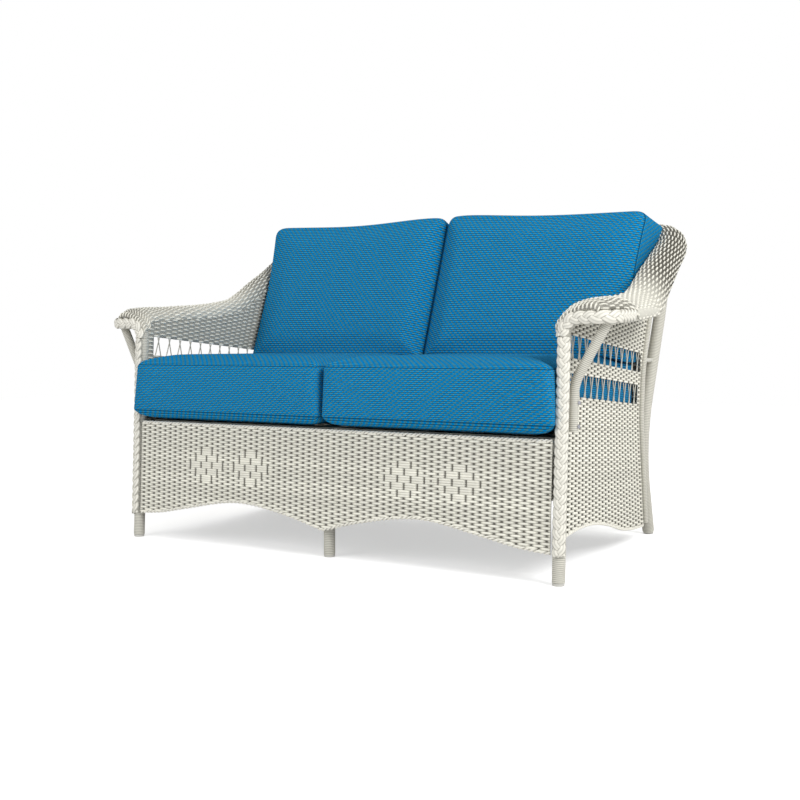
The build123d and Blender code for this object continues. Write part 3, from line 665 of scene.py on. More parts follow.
def apron_sign(stake, row):
    """Plain weave with the four diamonds in it."""
    sign = over_under(stake, row)
    for middle in DIAMOND_STAKES:
        inside, block = in_diamond(stake - middle, row)
        sign = np.where(inside, np.where((stake - middle + block) % 2 == 0, 1.0, -1.0), sign)
    return sign


def apron_dive(place, row):
    """The bricks of a diamond are long and flat, with narrow slits between them."""
    dive = np.full(len(place), APRON_DIVE)
    for middle in DIAMOND_STAKES:
        inside, _ = in_diamond(place - 0.5 - middle, row, DIAMOND_SPARE)
        dive = np.where(inside, DIAMOND_DIVE, dive)
    return dive


def keep_apron(along, up):
    return APRON_LOW + up > arch(along - APRON_REACH, APRON_LOW, APRON_ARCH)


def lay_apron(along, up, front):
    height = APRON_LOW + up
    out = APRON_PROUD + front
    return np.stack([along - APRON_REACH,
                     FRONT_LINE + height * sin(LEG_LEAN) - out * cos(LEG_LEAN),
                     height * cos(LEG_LEAN) + out * sin(LEG_LEAN)], axis=1)


apron = weave("front_apron_weave", APRON_STAKES, APRON_ROWS, APRON_PITCH, APRON_ROW,
              keep_apron, lay_apron, APRON_GAPS, apron_sign, apron_dive)
finish_piece(apron, "front_apron_weave", ["front_apron"])

# %% [markdown]
# ## Rims of the arms and the back
# The arm is a broad woven roll between the outer tube and the top of the side panel. It
# rises up the wing, turns the upper corner and runs on across the back. Its section is half
# an oval, given at a few stations, and a smooth surface through them carries the weave.

# %% The roll as a surface
ROLL_HEIGHT, ROLL_DROP, ROLL_SEAT = 0.075, 0.038, 0.017
TOP_ROLL_WIDTH = 0.074
ROLL_FULLNESS = 0.8
ROLL_POINTS, FINE_POINTS = 33, 97
ARM_SECTIONS, BACK_SECTIONS = 260, 60
PAST_CORNER_SHARE = 0.6
# depth, tilt as a share of the wing slope, crest as a share of the roll height, share of the
# drop, share of a quarter turn that it starts round the tube, reach past the side panel
ARM_STATIONS = [
    (0.037, 0.00, 0.36, 1.20, 0.0, 0.014), (0.053, 0.00, 0.49, 1.10, 0.0, 0.010),
    (0.080, 0.00, 0.54, 1.00, 0.0, 0.003), (0.130, 0.00, 0.56, 1.00, 0.1, 0.0),
    (0.234, 0.05, 0.57, 1.00, 1.4, 0.0), (0.351, 0.10, 0.58, 1.00, 1.5, 0.0),
    (0.468, 0.22, 0.65, 1.00, 1.5, 0.0), (0.560, 0.45, 0.79, 1.00, 1.3, 0.0),
    (0.640, 0.75, 0.90, 1.00, 1.0, 0.0), (0.719, 1.00, 0.85, 1.00, 1.0, 0.0),
    (0.810, 1.00, 0.74, 1.00, 1.0, 0.0),
]
CORNER_CRESTS = [0.72, 0.74, 0.76, 0.77, 0.77]
# how far the front lip of the arm comes forward and down, over the plait
FRONT_LIP = ((0.019, 0.014), (0.016, 0.007), (0.009, 0.0015))
BEND_CENTRE = np.array([CORNER_X - CORNER_BEND, at(CORNER_DEPTH - CORNER_BEND * SLOPE_Y),
                        CORNER_HEIGHT - CORNER_BEND * SLOPE_Z])


def arm_place(depth):
    """Where the arm tube's centre is, past its front corner, at a depth."""
    past = ARM_LINE[np.argmax(ARM_LINE[:, 0] >= LEG_X + ARM_OUT * PAST_CORNER_SHARE):]
    return np.array([np.interp(at(depth), past[:, 1], past[:, k]) for k in range(3)])


def rim_stations():
    """Rows of origin, outward and normal directions, width, crest, end of the drop, start."""
    rows = []
    for depth_share, tilt_share, crest_share, drop_share, start, reach in ARM_STATIONS:
        origin = arm_place(depth_share * CORNER_DEPTH)
        tilt = radians(WING_SLOPE) * tilt_share
        crest = crest_share * ROLL_HEIGHT
        rows.append([*origin, 1, 0, 0, 0, -sin(tilt), cos(tilt), origin[0] - PANEL_X + reach, crest,
                     crest - ROLL_DROP * drop_share, pi / 2 * start])
    for place, crest_share in enumerate(CORNER_CRESTS):
        share = place / (len(CORNER_CRESTS) - 1)
        turn = pi / 2 * share
        outward = np.array([cos(turn), SLOPE_Y * sin(turn), SLOPE_Z * sin(turn)])
        wing_width = CORNER_X - PANEL_X
        crest = crest_share * ROLL_HEIGHT
        rows.append([*(BEND_CENTRE + outward * CORNER_BEND), *outward, 0, -SLOPE_Z, SLOPE_Y,
                     wing_width + (TOP_ROLL_WIDTH - wing_width) * share, crest, crest - ROLL_DROP, pi / 2])
    return np.array(rows)


def roll_section(row):
    """Points round a station's half oval, at equal steps, from the tube to the panel."""
    origin, outward, normal = row[0:3], row[3:6], row[6:9]
    width, crest, end, start = row[9:13]
    start_out, start_up = ROLL_SEAT * sin(start), ROLL_SEAT * cos(start)
    turn = np.linspace(0, pi, FINE_POINTS)
    share = (1 - np.cos(turn)) / 2
    across = (width + start_out) * share - start_out
    rise = np.sin(turn) ** ROLL_FULLNESS
    height = start_up + (end - start_up) * share + (crest - (start_up + end) / 2) * rise
    line = origin - across[:, None] * outward + height[:, None] * normal
    runs = running_length(line)
    places = np.linspace(0, runs[-1], ROLL_POINTS)
    return np.stack([np.interp(places, runs, line[:, k]) for k in range(3)], axis=1)


class Roll:
    """A surface given by sections, read by a length along and a share round."""

    def __init__(self, sections):
        self.points = sections
        along = np.gradient(sections, axis=0)
        around = np.gradient(sections, axis=1)
        self.normals = unit(np.cross(around, along))
        self.crest = sections[:, ROLL_POINTS // 2]
        self.lengths = running_length(self.crest)
        self.length = self.lengths[-1]

    def read(self, table, along, share):
        i = np.interp(along, self.lengths, np.arange(len(self.lengths)))
        j = np.clip(share, 0, 1) * (table.shape[1] - 1)
        i0 = np.clip(i.astype(int), 0, table.shape[0] - 2)
        j0 = np.clip(j.astype(int), 0, table.shape[1] - 2)
        s, t = (i - i0)[:, None], (j - j0)[:, None]
        return ((table[i0, j0] * (1 - t) + table[i0, j0 + 1] * t) * (1 - s)
                + (table[i0 + 1, j0] * (1 - t) + table[i0 + 1, j0 + 1] * t) * s)

    def lay(self, along, share, front):
        return self.read(self.points, along, share) + self.read(self.normals, along, share) * front[:, None]


def arm_roll():
    rows = rim_stations()
    runs = running_length(rows[:, 0:3])
    fine = smooth_between(np.linspace(0, runs[-1], ARM_SECTIONS), runs, rows)
    for part in (slice(3, 6), slice(6, 9)):
        fine[:, part] = unit(fine[:, part])
    sections = [roll_section(row) for row in fine]
    lip = [sections[0] + np.array([0, -forward, -down]) for forward, down in FRONT_LIP]
    return Roll(np.array(lip + sections))


def back_roll():
    last = roll_section(rim_stations()[-1])
    places = np.linspace(last[0][0], -last[0][0], BACK_SECTIONS)
    sections = np.repeat(last[None], len(places), axis=0)
    sections[:, :, 0] = places[:, None]
    return Roll(sections)


ARM_ROLL, BACK_ROLL = arm_roll(), back_roll()
print("arm roll is", round(float(ARM_ROLL.length), 3), "m long")

# %% [markdown]
# The gaps of the weave carry painted shade. Along the level arm it is half light. At the
# elbow the roll turns upwards and the real strands crowd together, so on the outer half the
# painted shade is taken out of the gaps, and up the wing the gaps are painted dark.

# %% Weave the rims
ROLL_ROWS = 27
ROLL_PITCH = 0.0232
ROLL_ROW = 0.0058
ROLL_HIGH = ROLL_ROWS * ROLL_ROW
ROLL_DIVE = 2.8
# painted shade in the roll's gaps, 0 dark to 1 light: the level arm, the wing, what the inner half adds,
# the elbow
LEVEL_GAPS, WING_GAPS, INNER_GAPS, ELBOW_GAPS = 0.42, 0.04, 0.40, 0.95
ELBOW_DEPTH, ELBOW_REACH, WING_REACH = 0.37, 0.16, 0.24
# shares round the roll at which the elbow's gaps, painted without shade, begin to take painted shade, and
# take all of it
UNSHADED_UP_TO, SHADED_FROM = 0.75 / 1.7, 1.75 / 1.7
# shares round the roll between which the painted shade in the inner half's gaps grows lighter
INNER_FROM, INNER_TO = 0.5, 2.5 / 3
ELBOW = float(np.interp(at(ELBOW_DEPTH), ARM_ROLL.crest[:, 1], ARM_ROLL.lengths))


# painted shade in the roll's gaps, by place along and round the roll
def roll_gaps(along, up, front):
    share = up / ROLL_HIGH
    outer = np.interp(share, (UNSHADED_UP_TO, SHADED_FROM), (1, 0))
    shade_lifted = np.exp(-((along - ELBOW) / ELBOW_REACH) ** 4) * outer
    inner = INNER_GAPS * np.interp(share, (INNER_FROM, INNER_TO), (0, 1))
    open_gaps = np.interp(along, (ELBOW, ELBOW + WING_REACH), (LEVEL_GAPS, WING_GAPS))
    return np.clip(open_gaps + inner + (ELBOW_GAPS - open_gaps) * shade_lifted, 0, 1)


def flipped(piece):
    """The same piece for the other side of the seat, with its own mesh."""
    make_active(piece)
    bpy.ops.object.duplicate()
    copy = bpy.context.object
    bpy.ops.transform.resize(value=(-1, 1, 1))
    bpy.ops.object.transform_apply(location=True, rotation=True, scale=True)
    turn_outwards(copy)
    return copy


def keep_all(along, up):
    return np.ones(len(along), dtype=bool)


def weave_roll(name, roll, gaps):
    stakes = int(roll.length / ROLL_PITCH)
    return weave(name, stakes, ROLL_ROWS, roll.length / stakes, ROLL_ROW, keep_all,
                 lambda along, up, front: roll.lay(along, up / ROLL_HIGH, front), gaps,
                 dive=even_dive(ROLL_DIVE))


arm_left = weave_roll("arm_rim_weave_left", ARM_ROLL, roll_gaps)
arm_right = flipped(arm_left)
finish_piece(arm_left, "arm_rim_weave_left", ["arm_rim_left"])
finish_piece(arm_right, "arm_rim_weave_right", ["arm_rim_right"])
back_rim = weave_roll("back_rim_weave", BACK_ROLL, even_gaps(WING_GAPS, WING_GAPS))
finish_piece(back_rim, "back_rim_weave", ["back_rim"])

# %% [markdown]
# ## Side panels
# Each side is one woven panel from the front leg to the rear stile, with an arched lower
# edge and two long windows. Its rows slope down a little to the back, with the windows.

# %% Weave the side panels
PANEL_PITCH, PANEL_ROW = 0.0235, 0.088 / 15
PANEL_SLOPE = tan(radians(4.8))
WINDOW_FRONT, WINDOW_HEIGHT = 0.065, 0.055
WINDOWS = ((0.566, 0.618), (0.478, 0.592))
PANEL_BASE = WINDOWS[1][0] + WINDOW_FRONT * PANEL_SLOPE - 69 * PANEL_ROW
PANEL_STAKES, PANEL_HIGH = 25, 0.84
PANEL_FRONT = 0.016
# painted shade in the panel's gaps: black on the outer face, lighter on the inner face
PANEL_GAPS = even_gaps(0.0, 0.58)
PANEL_DIVE = 2.9
RIM_OVERLAP = 0.002
PANEL_LOW, PANEL_ARCH = 0.038, 0.073
FOOT_DEPTH = STILE_PLACES[0][0]
ARCH_DEPTHS = [0.02, 0.20 * FOOT_DEPTH, 0.36 * FOOT_DEPTH, 0.53 * FOOT_DEPTH, 0.70 * FOOT_DEPTH,
               0.85 * FOOT_DEPTH, FOOT_DEPTH]
ARCH_RISES = [0.90, 1.0, 0.93, 0.66, 0.27, 0.08, 0.0]


def panel_bottom(depth):
    return PANEL_LOW + PANEL_ARCH * smooth_between(depth, ARCH_DEPTHS, ARCH_RISES)


def panel_place(along, up):
    """Depth and height of a place in the panel. The stakes fan out from the leaning front leg
    to the curved stile, and the rows slope down to the back."""
    height = PANEL_BASE + up - along * PANEL_SLOPE
    front = height * LEAN + PANEL_FRONT
    rear = np.interp(height, STILE_LINE[:, 2], STILE_LINE[:, 1]) - FRONT_LINE - STILE_RADIUS
    depth = front + (rear - front) * along / (PANEL_STAKES * PANEL_PITCH)
    return depth, PANEL_BASE + up - depth * PANEL_SLOPE


def keep_panel(along, up):
    depth, height = panel_place(along, up)
    rim = ARM_ROLL.points[:, -1]
    below_rim = height < np.interp(at(depth), rim[:, 1], rim[:, 2]) + RIM_OVERLAP
    kept = below_rim & (height > panel_bottom(depth))
    for top, rear in WINDOWS:
        edge = top - (depth - WINDOW_FRONT) * PANEL_SLOPE
        in_depth = (depth > WINDOW_FRONT) & (depth < rear)
        kept &= ~(in_depth & (height < edge) & (height > edge - WINDOW_HEIGHT))
    return kept


def lay_panel(along, up, front):
    depth, height = panel_place(along, up)
    return np.stack([PANEL_X + front, at(depth), height], axis=1)


panel_left = weave("side_panel_weave_left", PANEL_STAKES, int(PANEL_HIGH / PANEL_ROW), PANEL_PITCH,
                   PANEL_ROW, keep_panel, lay_panel, PANEL_GAPS, dive=even_dive(PANEL_DIVE))
panel_right = flipped(panel_left)
finish_piece(panel_left, "side_panel_weave_left", ["side_panel_left"])
finish_piece(panel_right, "side_panel_weave_right", ["side_panel_right"])

# %% [markdown]
# ## Back and rear apron
# Behind the cushions one curved weave runs between the rear stiles, and a lower band under
# the seat closes the back as the front apron closes the front. The photograph doesn't show
# them, so they follow the front apron's weave.

# %% Weave the back
BACK_REACH = 0.6245
BACK_SKIN = 0.003
BACK_STAKES, BACK_ROWS = 50, 58
BACK_LOW, BACK_TOP = 0.331, 0.826
# depth and height at which the curve of the back ends, a little past the stile's own end
BACK_HEAD = (0.778, 0.832)
# painted shade in the gaps of the back and the rear apron, on their two faces
BACK_GAPS = even_gaps(0.2, 0.3)


def back_line(low, high):
    """The curve of the back between two heights, in the middle of its skin."""
    line = bent_line([(0, at(d), h) for d, h in STILE_PLACES[:-1] + [BACK_HEAD]], STILE_BENDS)
    return line[(line[:, 2] >= low) & (line[:, 2] <= high)]


def back_surface(low, high):
    """A way to lay cloth on the back, its length up the curve, and the height up there."""
    line = back_line(low, high)
    along = unit(np.gradient(line, axis=0))
    rearward = np.stack([along[:, 0], along[:, 2], -along[:, 1]], axis=1)
    runs = running_length(line)

    def lay(across, up, front):
        """Front here means out of the back."""
        place = [np.interp(up, runs, line[:, k]) for k in (1, 2)]
        facing = [np.interp(up, runs, rearward[:, k]) for k in (1, 2)]
        out = BACK_SKIN + front
        return np.stack([BACK_REACH - across, place[0] + facing[0] * out,
                         place[1] + facing[1] * out], axis=1)

    return lay, runs[-1], (lambda up: np.interp(up, runs, line[:, 2]))


lay_back, back_high, _ = back_surface(BACK_LOW, BACK_TOP)
back_weave = weave("back_weave_cloth", BACK_STAKES, BACK_ROWS, 2 * BACK_REACH / BACK_STAKES,
                   back_high / BACK_ROWS, keep_all, lay_back, BACK_GAPS)
finish_piece(back_weave, "back_weave_cloth", ["back_weave"])

REAR_LOW, REAR_TOP = 0.051, 0.298
REAR_ROWS, REAR_STAKES = 43, 67
REAR_EDGE, REAR_ARCH = 0.052, 0.045
lay_rear, rear_high, height_of_rear = back_surface(REAR_LOW, REAR_TOP)


def keep_rear(along, up):
    return height_of_rear(up) > arch(along - BACK_REACH, REAR_EDGE, REAR_ARCH)


rear_apron = weave("rear_apron_weave", REAR_STAKES, REAR_ROWS, 2 * BACK_REACH / REAR_STAKES,
                   rear_high / REAR_ROWS, keep_rear, lay_rear, BACK_GAPS)
finish_piece(rear_apron, "rear_apron_weave", ["rear_apron"])

# %% [markdown]
# ## Wraps
# Every tube is wound closely with fine strand. One turn is a low ridge, and a wound tube is
# hundreds of them, so the stock's rings are set at two sizes in turn: a ridge, a groove.

# %% Wind the tubes
WRAP_TURN = 0.0044
WRAP_SIDES = 14
WRAP_RIDGE = 0.0010
WRAP_FACING = (0.3, -1, 0.2)
# painted shade in the grooves between turns, as a share of the strand's light
GROOVE_SHADE = 0.25
BACK_LEG_WRAP, BACK_LEG_SHORT = 0.017, 0.012
STILE_SIDES = 10


def frames_along(line, facing):
    """Directions along, towards a facing that turns as little as it can, and sideways."""
    tangents = unit(np.gradient(line, axis=0))
    facings, face = [], np.array(facing, float)
    for tangent in tangents:
        face = unit(face - tangent * face.dot(tangent))
        facings.append(face)
    facings = np.array(facings)
    return facings, np.cross(tangents, facings)


def lay_along(line, facing):
    """A place for points given by a length, a step sideways and a step outwards."""
    facings, sideways = frames_along(line, facing)
    runs = running_length(line)

    def read(table, along):
        return np.stack([np.interp(along, runs, table[:, k]) for k in range(3)], axis=1)

    def lay(along, aside, out):
        return (read(line, along) + read(sideways, along) * aside[:, None]
                + read(facings, along) * out[:, None])

    return lay, float(runs[-1])


def wind(name, line, radius, nodes, sides=WRAP_SIDES):
    lay, length = lay_along(line, WRAP_FACING)
    rings = int(2 * length / WRAP_TURN)
    piece = strand_stock(name, rings, sides)
    close_ends(piece, sides)
    points = read_points(piece)
    ridge = np.round(points[:, 0]) % 2
    out = radius - WRAP_RIDGE * (1 - ridge)
    # painted shade: the grooves between turns are painted darker
    write_values(piece, "shade", GROOVE_SHADE + (1 - GROOVE_SHADE) * ridge)
    write_points(piece, lay(points[:, 0] * length / rings, points[:, 1] * out, points[:, 2] * out))
    piece.data.materials.append(WRAPPED)
    turn_outwards(piece)
    smooth(piece)
    finish_piece(piece, name, nodes)


for side, hand in ((-1, "right"), (1, "left")):
    wind(f"post_winding_{hand}", mirrored(POST_LINE, side), TUBE_WRAP, [f"front_post_wrap_{hand}"])
    wind(f"arm_winding_{hand}", mirrored(ARM_LINE, side), TUBE_WRAP, [f"arm_wrap_{hand}"])
    wind(f"brace_winding_{hand}", mirrored(BRACE_LINE, side), BRACE_RADIUS, [f"arm_brace_wrap_{hand}"])
    above = BACK_LEG_LINE[BACK_LEG_LINE[:, 2] > GLIDE_TOP]
    below_top = above[above[:, 2] < CORNER_HEIGHT - BACK_LEG_SHORT]
    wind(f"back_leg_winding_{hand}", mirrored(below_top, side), BACK_LEG_WRAP, [f"back_post_wrap_{hand}"])
    wind(f"stile_winding_{hand}", mirrored(STILE_LINE, side), STILE_RADIUS, [f"rear_stile_{hand}"],
         STILE_SIDES)
wind("top_winding", TOP_LINE, TUBE_WRAP, ["top_wrap"])
wind("centre_leg_winding", CENTRE_LEG_LINE, TUBE_WRAP, ["centre_leg_wrap"])

# %% [markdown]
# ## Plaits and ropes
# A three strand plait runs up the front of each leg and round the front of the arm. Each
# strand swings from edge to edge and passes over and under the other two, so one formula
# with three phases makes it. The arched edges are bound with a two strand twist.

# %% Plait and rope helpers
PLAIT_PERIOD = 0.068
PLAIT_SWING, PLAIT_DEPTH = 0.0094, 0.0016
PLAIT_HALF, PLAIT_THICK = 0.0082, 0.0021
PLAIT_SIDES = 24
PLAIT_STEP = 0.0024
PLAIT_BASE, PLAIT_CLEAR = 0.0185, 0.0005
PLAIT_LOBES, LOBE_DEPTH = 3, 0.09
# painted light on a flat strand's face, and the painted shade that darkens its edges and the slits between
# its lobes
FACE_LIT, EDGE_SHADE, SLIT_SHADE = 1.02, 0.42, 0.4


def strand_along(piece, centre, wide, thick, lobes):
    """Turns stock into a flat strand round a centre line given in flat places."""
    points = read_points(piece)
    ring = np.round(points[:, 0]).astype(int)
    tangent = unit(np.gradient(centre, axis=0))
    aside = unit(np.cross(np.array([0, 0, 1.0]), tangent))
    out = np.cross(tangent, aside)
    angle = np.arctan2(points[:, 2], points[:, 1])
    ripple = 1 - LOBE_DEPTH * (1 - np.abs(np.cos(lobes * angle)))
    flat = (centre[ring] + aside[ring] * (points[:, 1] * wide * ripple)[:, None]
            + out[ring] * (points[:, 2] * thick * ripple)[:, None])
    # painted shade: darker at the strand's edges and in the slits between its lobes
    edge = np.abs(points[:, 1]) ** 3
    return flat, np.clip(FACE_LIT - EDGE_SHADE * edge - SLIT_SHADE * (1 - ripple) / LOBE_DEPTH, 0, 1)


def plait(name, line, facing, low, high, node):
    lay, length = lay_along(line, facing)
    start, end = low, length - high
    rings = int((end - start) / PLAIT_STEP)
    along = np.linspace(start, end, rings + 1)
    strands = []
    for third in range(3):
        piece = strand_stock(f"{name}_{third}", rings, PLAIT_SIDES)
        close_ends(piece, PLAIT_SIDES)
        phase = 2 * pi * (along / PLAIT_PERIOD + third / 3)
        centre = np.stack([along, PLAIT_SWING * np.sin(phase), PLAIT_DEPTH * np.sin(2 * phase)], axis=1)
        flat, shade = strand_along(piece, centre, PLAIT_HALF, PLAIT_THICK, PLAIT_LOBES)
        # painted shade where the strand passes under the other two
        deep = np.clip(0.9 + 0.2 * flat[:, 2] / (PLAIT_DEPTH + PLAIT_THICK), 0, 1)
        angle = flat[:, 1] / PLAIT_BASE
        out = PLAIT_BASE + PLAIT_CLEAR + flat[:, 2]
        write_values(piece, "shade", shade * deep)
        write_points(piece, lay(flat[:, 0], np.sin(angle) * out, np.cos(angle) * out))
        piece.data.materials.append(PLAITED)
        strands.append(piece)
    piece = join(strands)
    turn_outwards(piece)
    smooth(piece)
    finish_piece(piece, name, [node])


ROPE_RADIUS = 0.0046
ROPE_STRANDS, ROPE_SIDES, TURN_RINGS = 2, 8, 12
ROPE_SWING, ROPE_STRAND = ROPE_RADIUS * 0.5, ROPE_RADIUS * 0.56
# painted shade in the middle of a rope, and the light painted on towards its outside
ROPE_MIDDLE_SHADE, ROPE_OUTER_LIGHT = 0.35, 0.7


def rope(name, line, facing, turn_length, nodes):
    """A twist of round strands along a line."""
    lay, length = lay_along(line, facing)
    rings = int(length / (turn_length / TURN_RINGS))
    along = np.linspace(0, length, rings + 1)
    strands = []
    for turn in range(ROPE_STRANDS):
        piece = strand_stock(f"{name}_{turn}", rings, ROPE_SIDES)
        close_ends(piece, ROPE_SIDES)
        phase = 2 * pi * (along / turn_length + turn / ROPE_STRANDS)
        centre = np.stack([along, ROPE_SWING * np.cos(phase), ROPE_SWING * np.sin(phase)], axis=1)
        flat, _ = strand_along(piece, centre, ROPE_STRAND, ROPE_STRAND, 0)
        # painted shade: darker towards the rope's middle, between its strands
        away = np.hypot(flat[:, 1], flat[:, 2]) / ROPE_RADIUS
        write_values(piece, "shade", np.clip(ROPE_MIDDLE_SHADE + ROPE_OUTER_LIGHT * away, 0, 1))
        write_points(piece, lay(flat[:, 0], flat[:, 1], flat[:, 2]))
        piece.data.materials.append(PLAITED)
        strands.append(piece)
    piece = join(strands)
    turn_outwards(piece)
    smooth(piece)
    finish_piece(piece, name, nodes)


# %% [markdown]
# The leg's plait faces the front, a little outwards, and the arm's plait starts where it ends.

# %% Plait the legs and arms
PLAIT_LOW = 0.062
ARM_PLAIT_DEPTH = 0.165
PLAIT_TURNS = {"right": 20, "left": 17}
arm_front = ARM_LINE[ARM_LINE[:, 1] < at(ARM_PLAIT_DEPTH)]
for side, hand in ((-1, "right"), (1, "left")):
    turn = radians(PLAIT_TURNS[hand])
    plait(f"leg_plait_{hand}", mirrored(POST_LINE, side), (side * sin(turn), -cos(turn), 0),
          PLAIT_LOW, 0, f"post_braid_{hand}")
    plait(f"arm_plait_{hand}", mirrored(arm_front, side), (0, -1, 0), 0, 0, f"arm_braid_{hand}")

# %% [markdown]
# The edges of the weaves are bound so that no strand end shows. A bevelled curve would give
# a plain tube there, so the ropes are laid from the same stock as the plaits, and each lower
# one follows the curve that its weave was cut to. Those on the apron's top and on the rear
# edge stand for no solid of their own.

# %% Bind the edges
EDGE_TURN, TOP_TURN = 0.026, 0.024
PANEL_EDGE_ENDS = (0.02, FOOT_DEPTH - 0.009)
PANEL_EDGE_DROP = 0.001


def apron_edge():
    across = np.linspace(-APRON_REACH, APRON_REACH, 240)
    up = arch(across, APRON_LOW, APRON_ARCH) - APRON_LOW
    return evenly(lay_apron(across + APRON_REACH, up, across * 0))


def apron_top():
    across = np.linspace(0, 2 * APRON_REACH, 160)
    return evenly(lay_apron(across, across * 0 + APRON_TOP - APRON_LOW, across * 0))


def panel_edge():
    depth = np.linspace(*PANEL_EDGE_ENDS, 160)
    height = panel_bottom(depth) - PANEL_EDGE_DROP
    return evenly(np.stack([depth * 0 + PANEL_X, at(depth), height], axis=1))


def rear_edge():
    across = np.linspace(-BACK_REACH, BACK_REACH, 200)
    height = arch(across, REAR_EDGE, REAR_ARCH)
    depth = np.interp(height, STILE_LINE[:, 2], STILE_LINE[:, 1]) + BACK_SKIN
    return evenly(np.stack([across, depth, height], axis=1))


rope("front_edge_rope", apron_edge(), (0, -1, 0), EDGE_TURN, ["front_binding"])
for side, hand in ((-1, "right"), (1, "left")):
    rope(f"side_edge_rope_{hand}", mirrored(panel_edge(), side), (side, 0, 0), EDGE_TURN,
         [f"side_binding_{hand}"])
rope("apron_top_rope", apron_top(), (0, -1, 0), TOP_TURN, [])
rope("rear_edge_rope", rear_edge(), (0, 1, 0), EDGE_TURN, [])

# %% [markdown]
# ## Cloth of the cushions
# The cloth is a coarse blue canvas with grey brown flecks in slanting lines. Each panel's
# own map counts its threads, so the pattern follows the crown and turns at the seams.

# %% Cloth finish
ROW_SHIFT = 0.42
# the third colour is painted shade for the sunk seams
BLUE, FLECK, SEAM_SHADE = (0.0, 0.185, 0.475, 1), (0.044, 0.19, 0.265, 1), (0.0, 0.03, 0.08, 1)
FLECK_FROM, FLECK_TO = 0.60, 0.80
MOTTLE_SWING, MOTTLE_LOW = 0.6, 0.7
# painted shade between the rows of threads: its swing and its lowest share
THREAD_SHADE_SWING, THREAD_SHADE_LOW = 1.1, 0.24
# how far the painted seam shade covers the cloth's colour
SEAM_SHADE_SHARE = 0.85


def math_node(tree, operation, first, second=None, third=None):
    node = tree.nodes.new("ShaderNodeMath")
    node.operation = operation
    for place, value in enumerate((first, second, third)):
        if value is None:
            continue
        if isinstance(value, (int, float)):
            node.inputs[place].default_value = value
        else:
            tree.links.new(value, node.inputs[place])
    return node.outputs[0]


def cloth_finish():
    material, tree, shader = new_material("blue_canvas")
    nodes, links = tree.nodes, tree.links
    mapping = nodes.new("ShaderNodeUVMap")
    split = nodes.new("ShaderNodeSeparateXYZ")
    links.new(mapping.outputs["UV"], split.inputs[0])
    row = math_node(tree, "FLOOR", split.outputs["Y"])
    shifted = math_node(tree, "MULTIPLY_ADD", row, ROW_SHIFT, split.outputs["X"])
    cell = math_node(tree, "FRACT", shifted)
    up = math_node(tree, "FRACT", split.outputs["Y"])
    wave_u = math_node(tree, "SINE", math_node(tree, "MULTIPLY", cell, pi))
    wave_v = math_node(tree, "SINE", math_node(tree, "MULTIPLY", up, pi))
    bump_height = math_node(tree, "MULTIPLY", wave_u, wave_v)
    fleck = nodes.new("ShaderNodeMapRange")
    fleck.interpolation_type = "SMOOTHSTEP"
    fleck.inputs["From Min"].default_value = FLECK_FROM
    fleck.inputs["From Max"].default_value = FLECK_TO
    links.new(wave_u, fleck.inputs["Value"])
    tone = nodes.new("ShaderNodeTexNoise")
    tone.inputs["Scale"].default_value = 160
    tone.inputs["Detail"].default_value = 2
    place = nodes.new("ShaderNodeTexCoord")
    links.new(place.outputs["Object"], tone.inputs["Vector"])
    threads = nodes.new("ShaderNodeMix")
    threads.data_type = "RGBA"
    threads.inputs["A"].default_value = BLUE
    threads.inputs["B"].default_value = FLECK
    links.new(fleck.outputs["Result"], threads.inputs["Factor"])
    lively = math_node(tree, "MULTIPLY_ADD", tone.outputs["Fac"], MOTTLE_SWING, MOTTLE_LOW)
    # painted shade in the grooves between rows of threads
    groove = math_node(tree, "MULTIPLY_ADD", wave_v, THREAD_SHADE_SWING, THREAD_SHADE_LOW)
    flecked = nodes.new("ShaderNodeVectorMath")
    flecked.operation = "SCALE"
    links.new(threads.outputs["Result"], flecked.inputs[0])
    links.new(math_node(tree, "MULTIPLY", lively, groove), flecked.inputs["Scale"])
    # painted shade in the sunk seams
    seam = nodes.new("ShaderNodeAttribute")
    seam.attribute_name = "seam"
    seam_shaded = nodes.new("ShaderNodeMix")
    seam_shaded.data_type = "RGBA"
    seam_shaded.inputs["B"].default_value = SEAM_SHADE
    links.new(flecked.outputs[0], seam_shaded.inputs["A"])
    seam_shading = math_node(tree, "MULTIPLY", seam.outputs["Fac"], SEAM_SHADE_SHARE)
    links.new(seam_shading, seam_shaded.inputs["Factor"])
    links.new(seam_shaded.outputs["Result"], shader.inputs["Base Color"])
    shader.inputs["Roughness"].default_value = 0.9
    shader.inputs["Specular IOR Level"].default_value = 0.0
    bump = nodes.new("ShaderNodeBump")
    bump.inputs["Strength"].default_value = 0.35
    bump.inputs["Distance"].default_value = 0.0008
    links.new(bump_height, bump.inputs["Height"])
    links.new(bump.outputs["Normal"], shader.inputs["Normal"])
    return material


CLOTH = cloth_finish()
print("cloth finish made")

# %% [markdown]
# ## Cushions
# Each cushion is a box of foam in a sewn cover: a crowned face, a crowned or flat back, and
# a straight band between two seams. A cube is cut into a regular net in edit mode, its
# corners are rounded and its faces crowned, and then the cover is blown up a little as
# cloth while the seams are held. The seams themselves are sunk in afterwards.

# %% Cushion helpers
CROWN_RUN, CROWN_POWER = 0.126, 0.42
NET_EDGE = 0.999
TINY = 1e-9


def cut_along(axis, cuts):
    """Cuts every edge that runs along an axis."""
    mesh = bmesh.from_edit_mesh(bpy.context.object.data)
    for edge in mesh.edges:
        run = edge.verts[1].co - edge.verts[0].co
        edge.select_set(abs(run[axis]) > 0.99 * run.length)
    bmesh.update_edit_mesh(bpy.context.object.data)
    bpy.ops.mesh.subdivide(number_cuts=cuts)


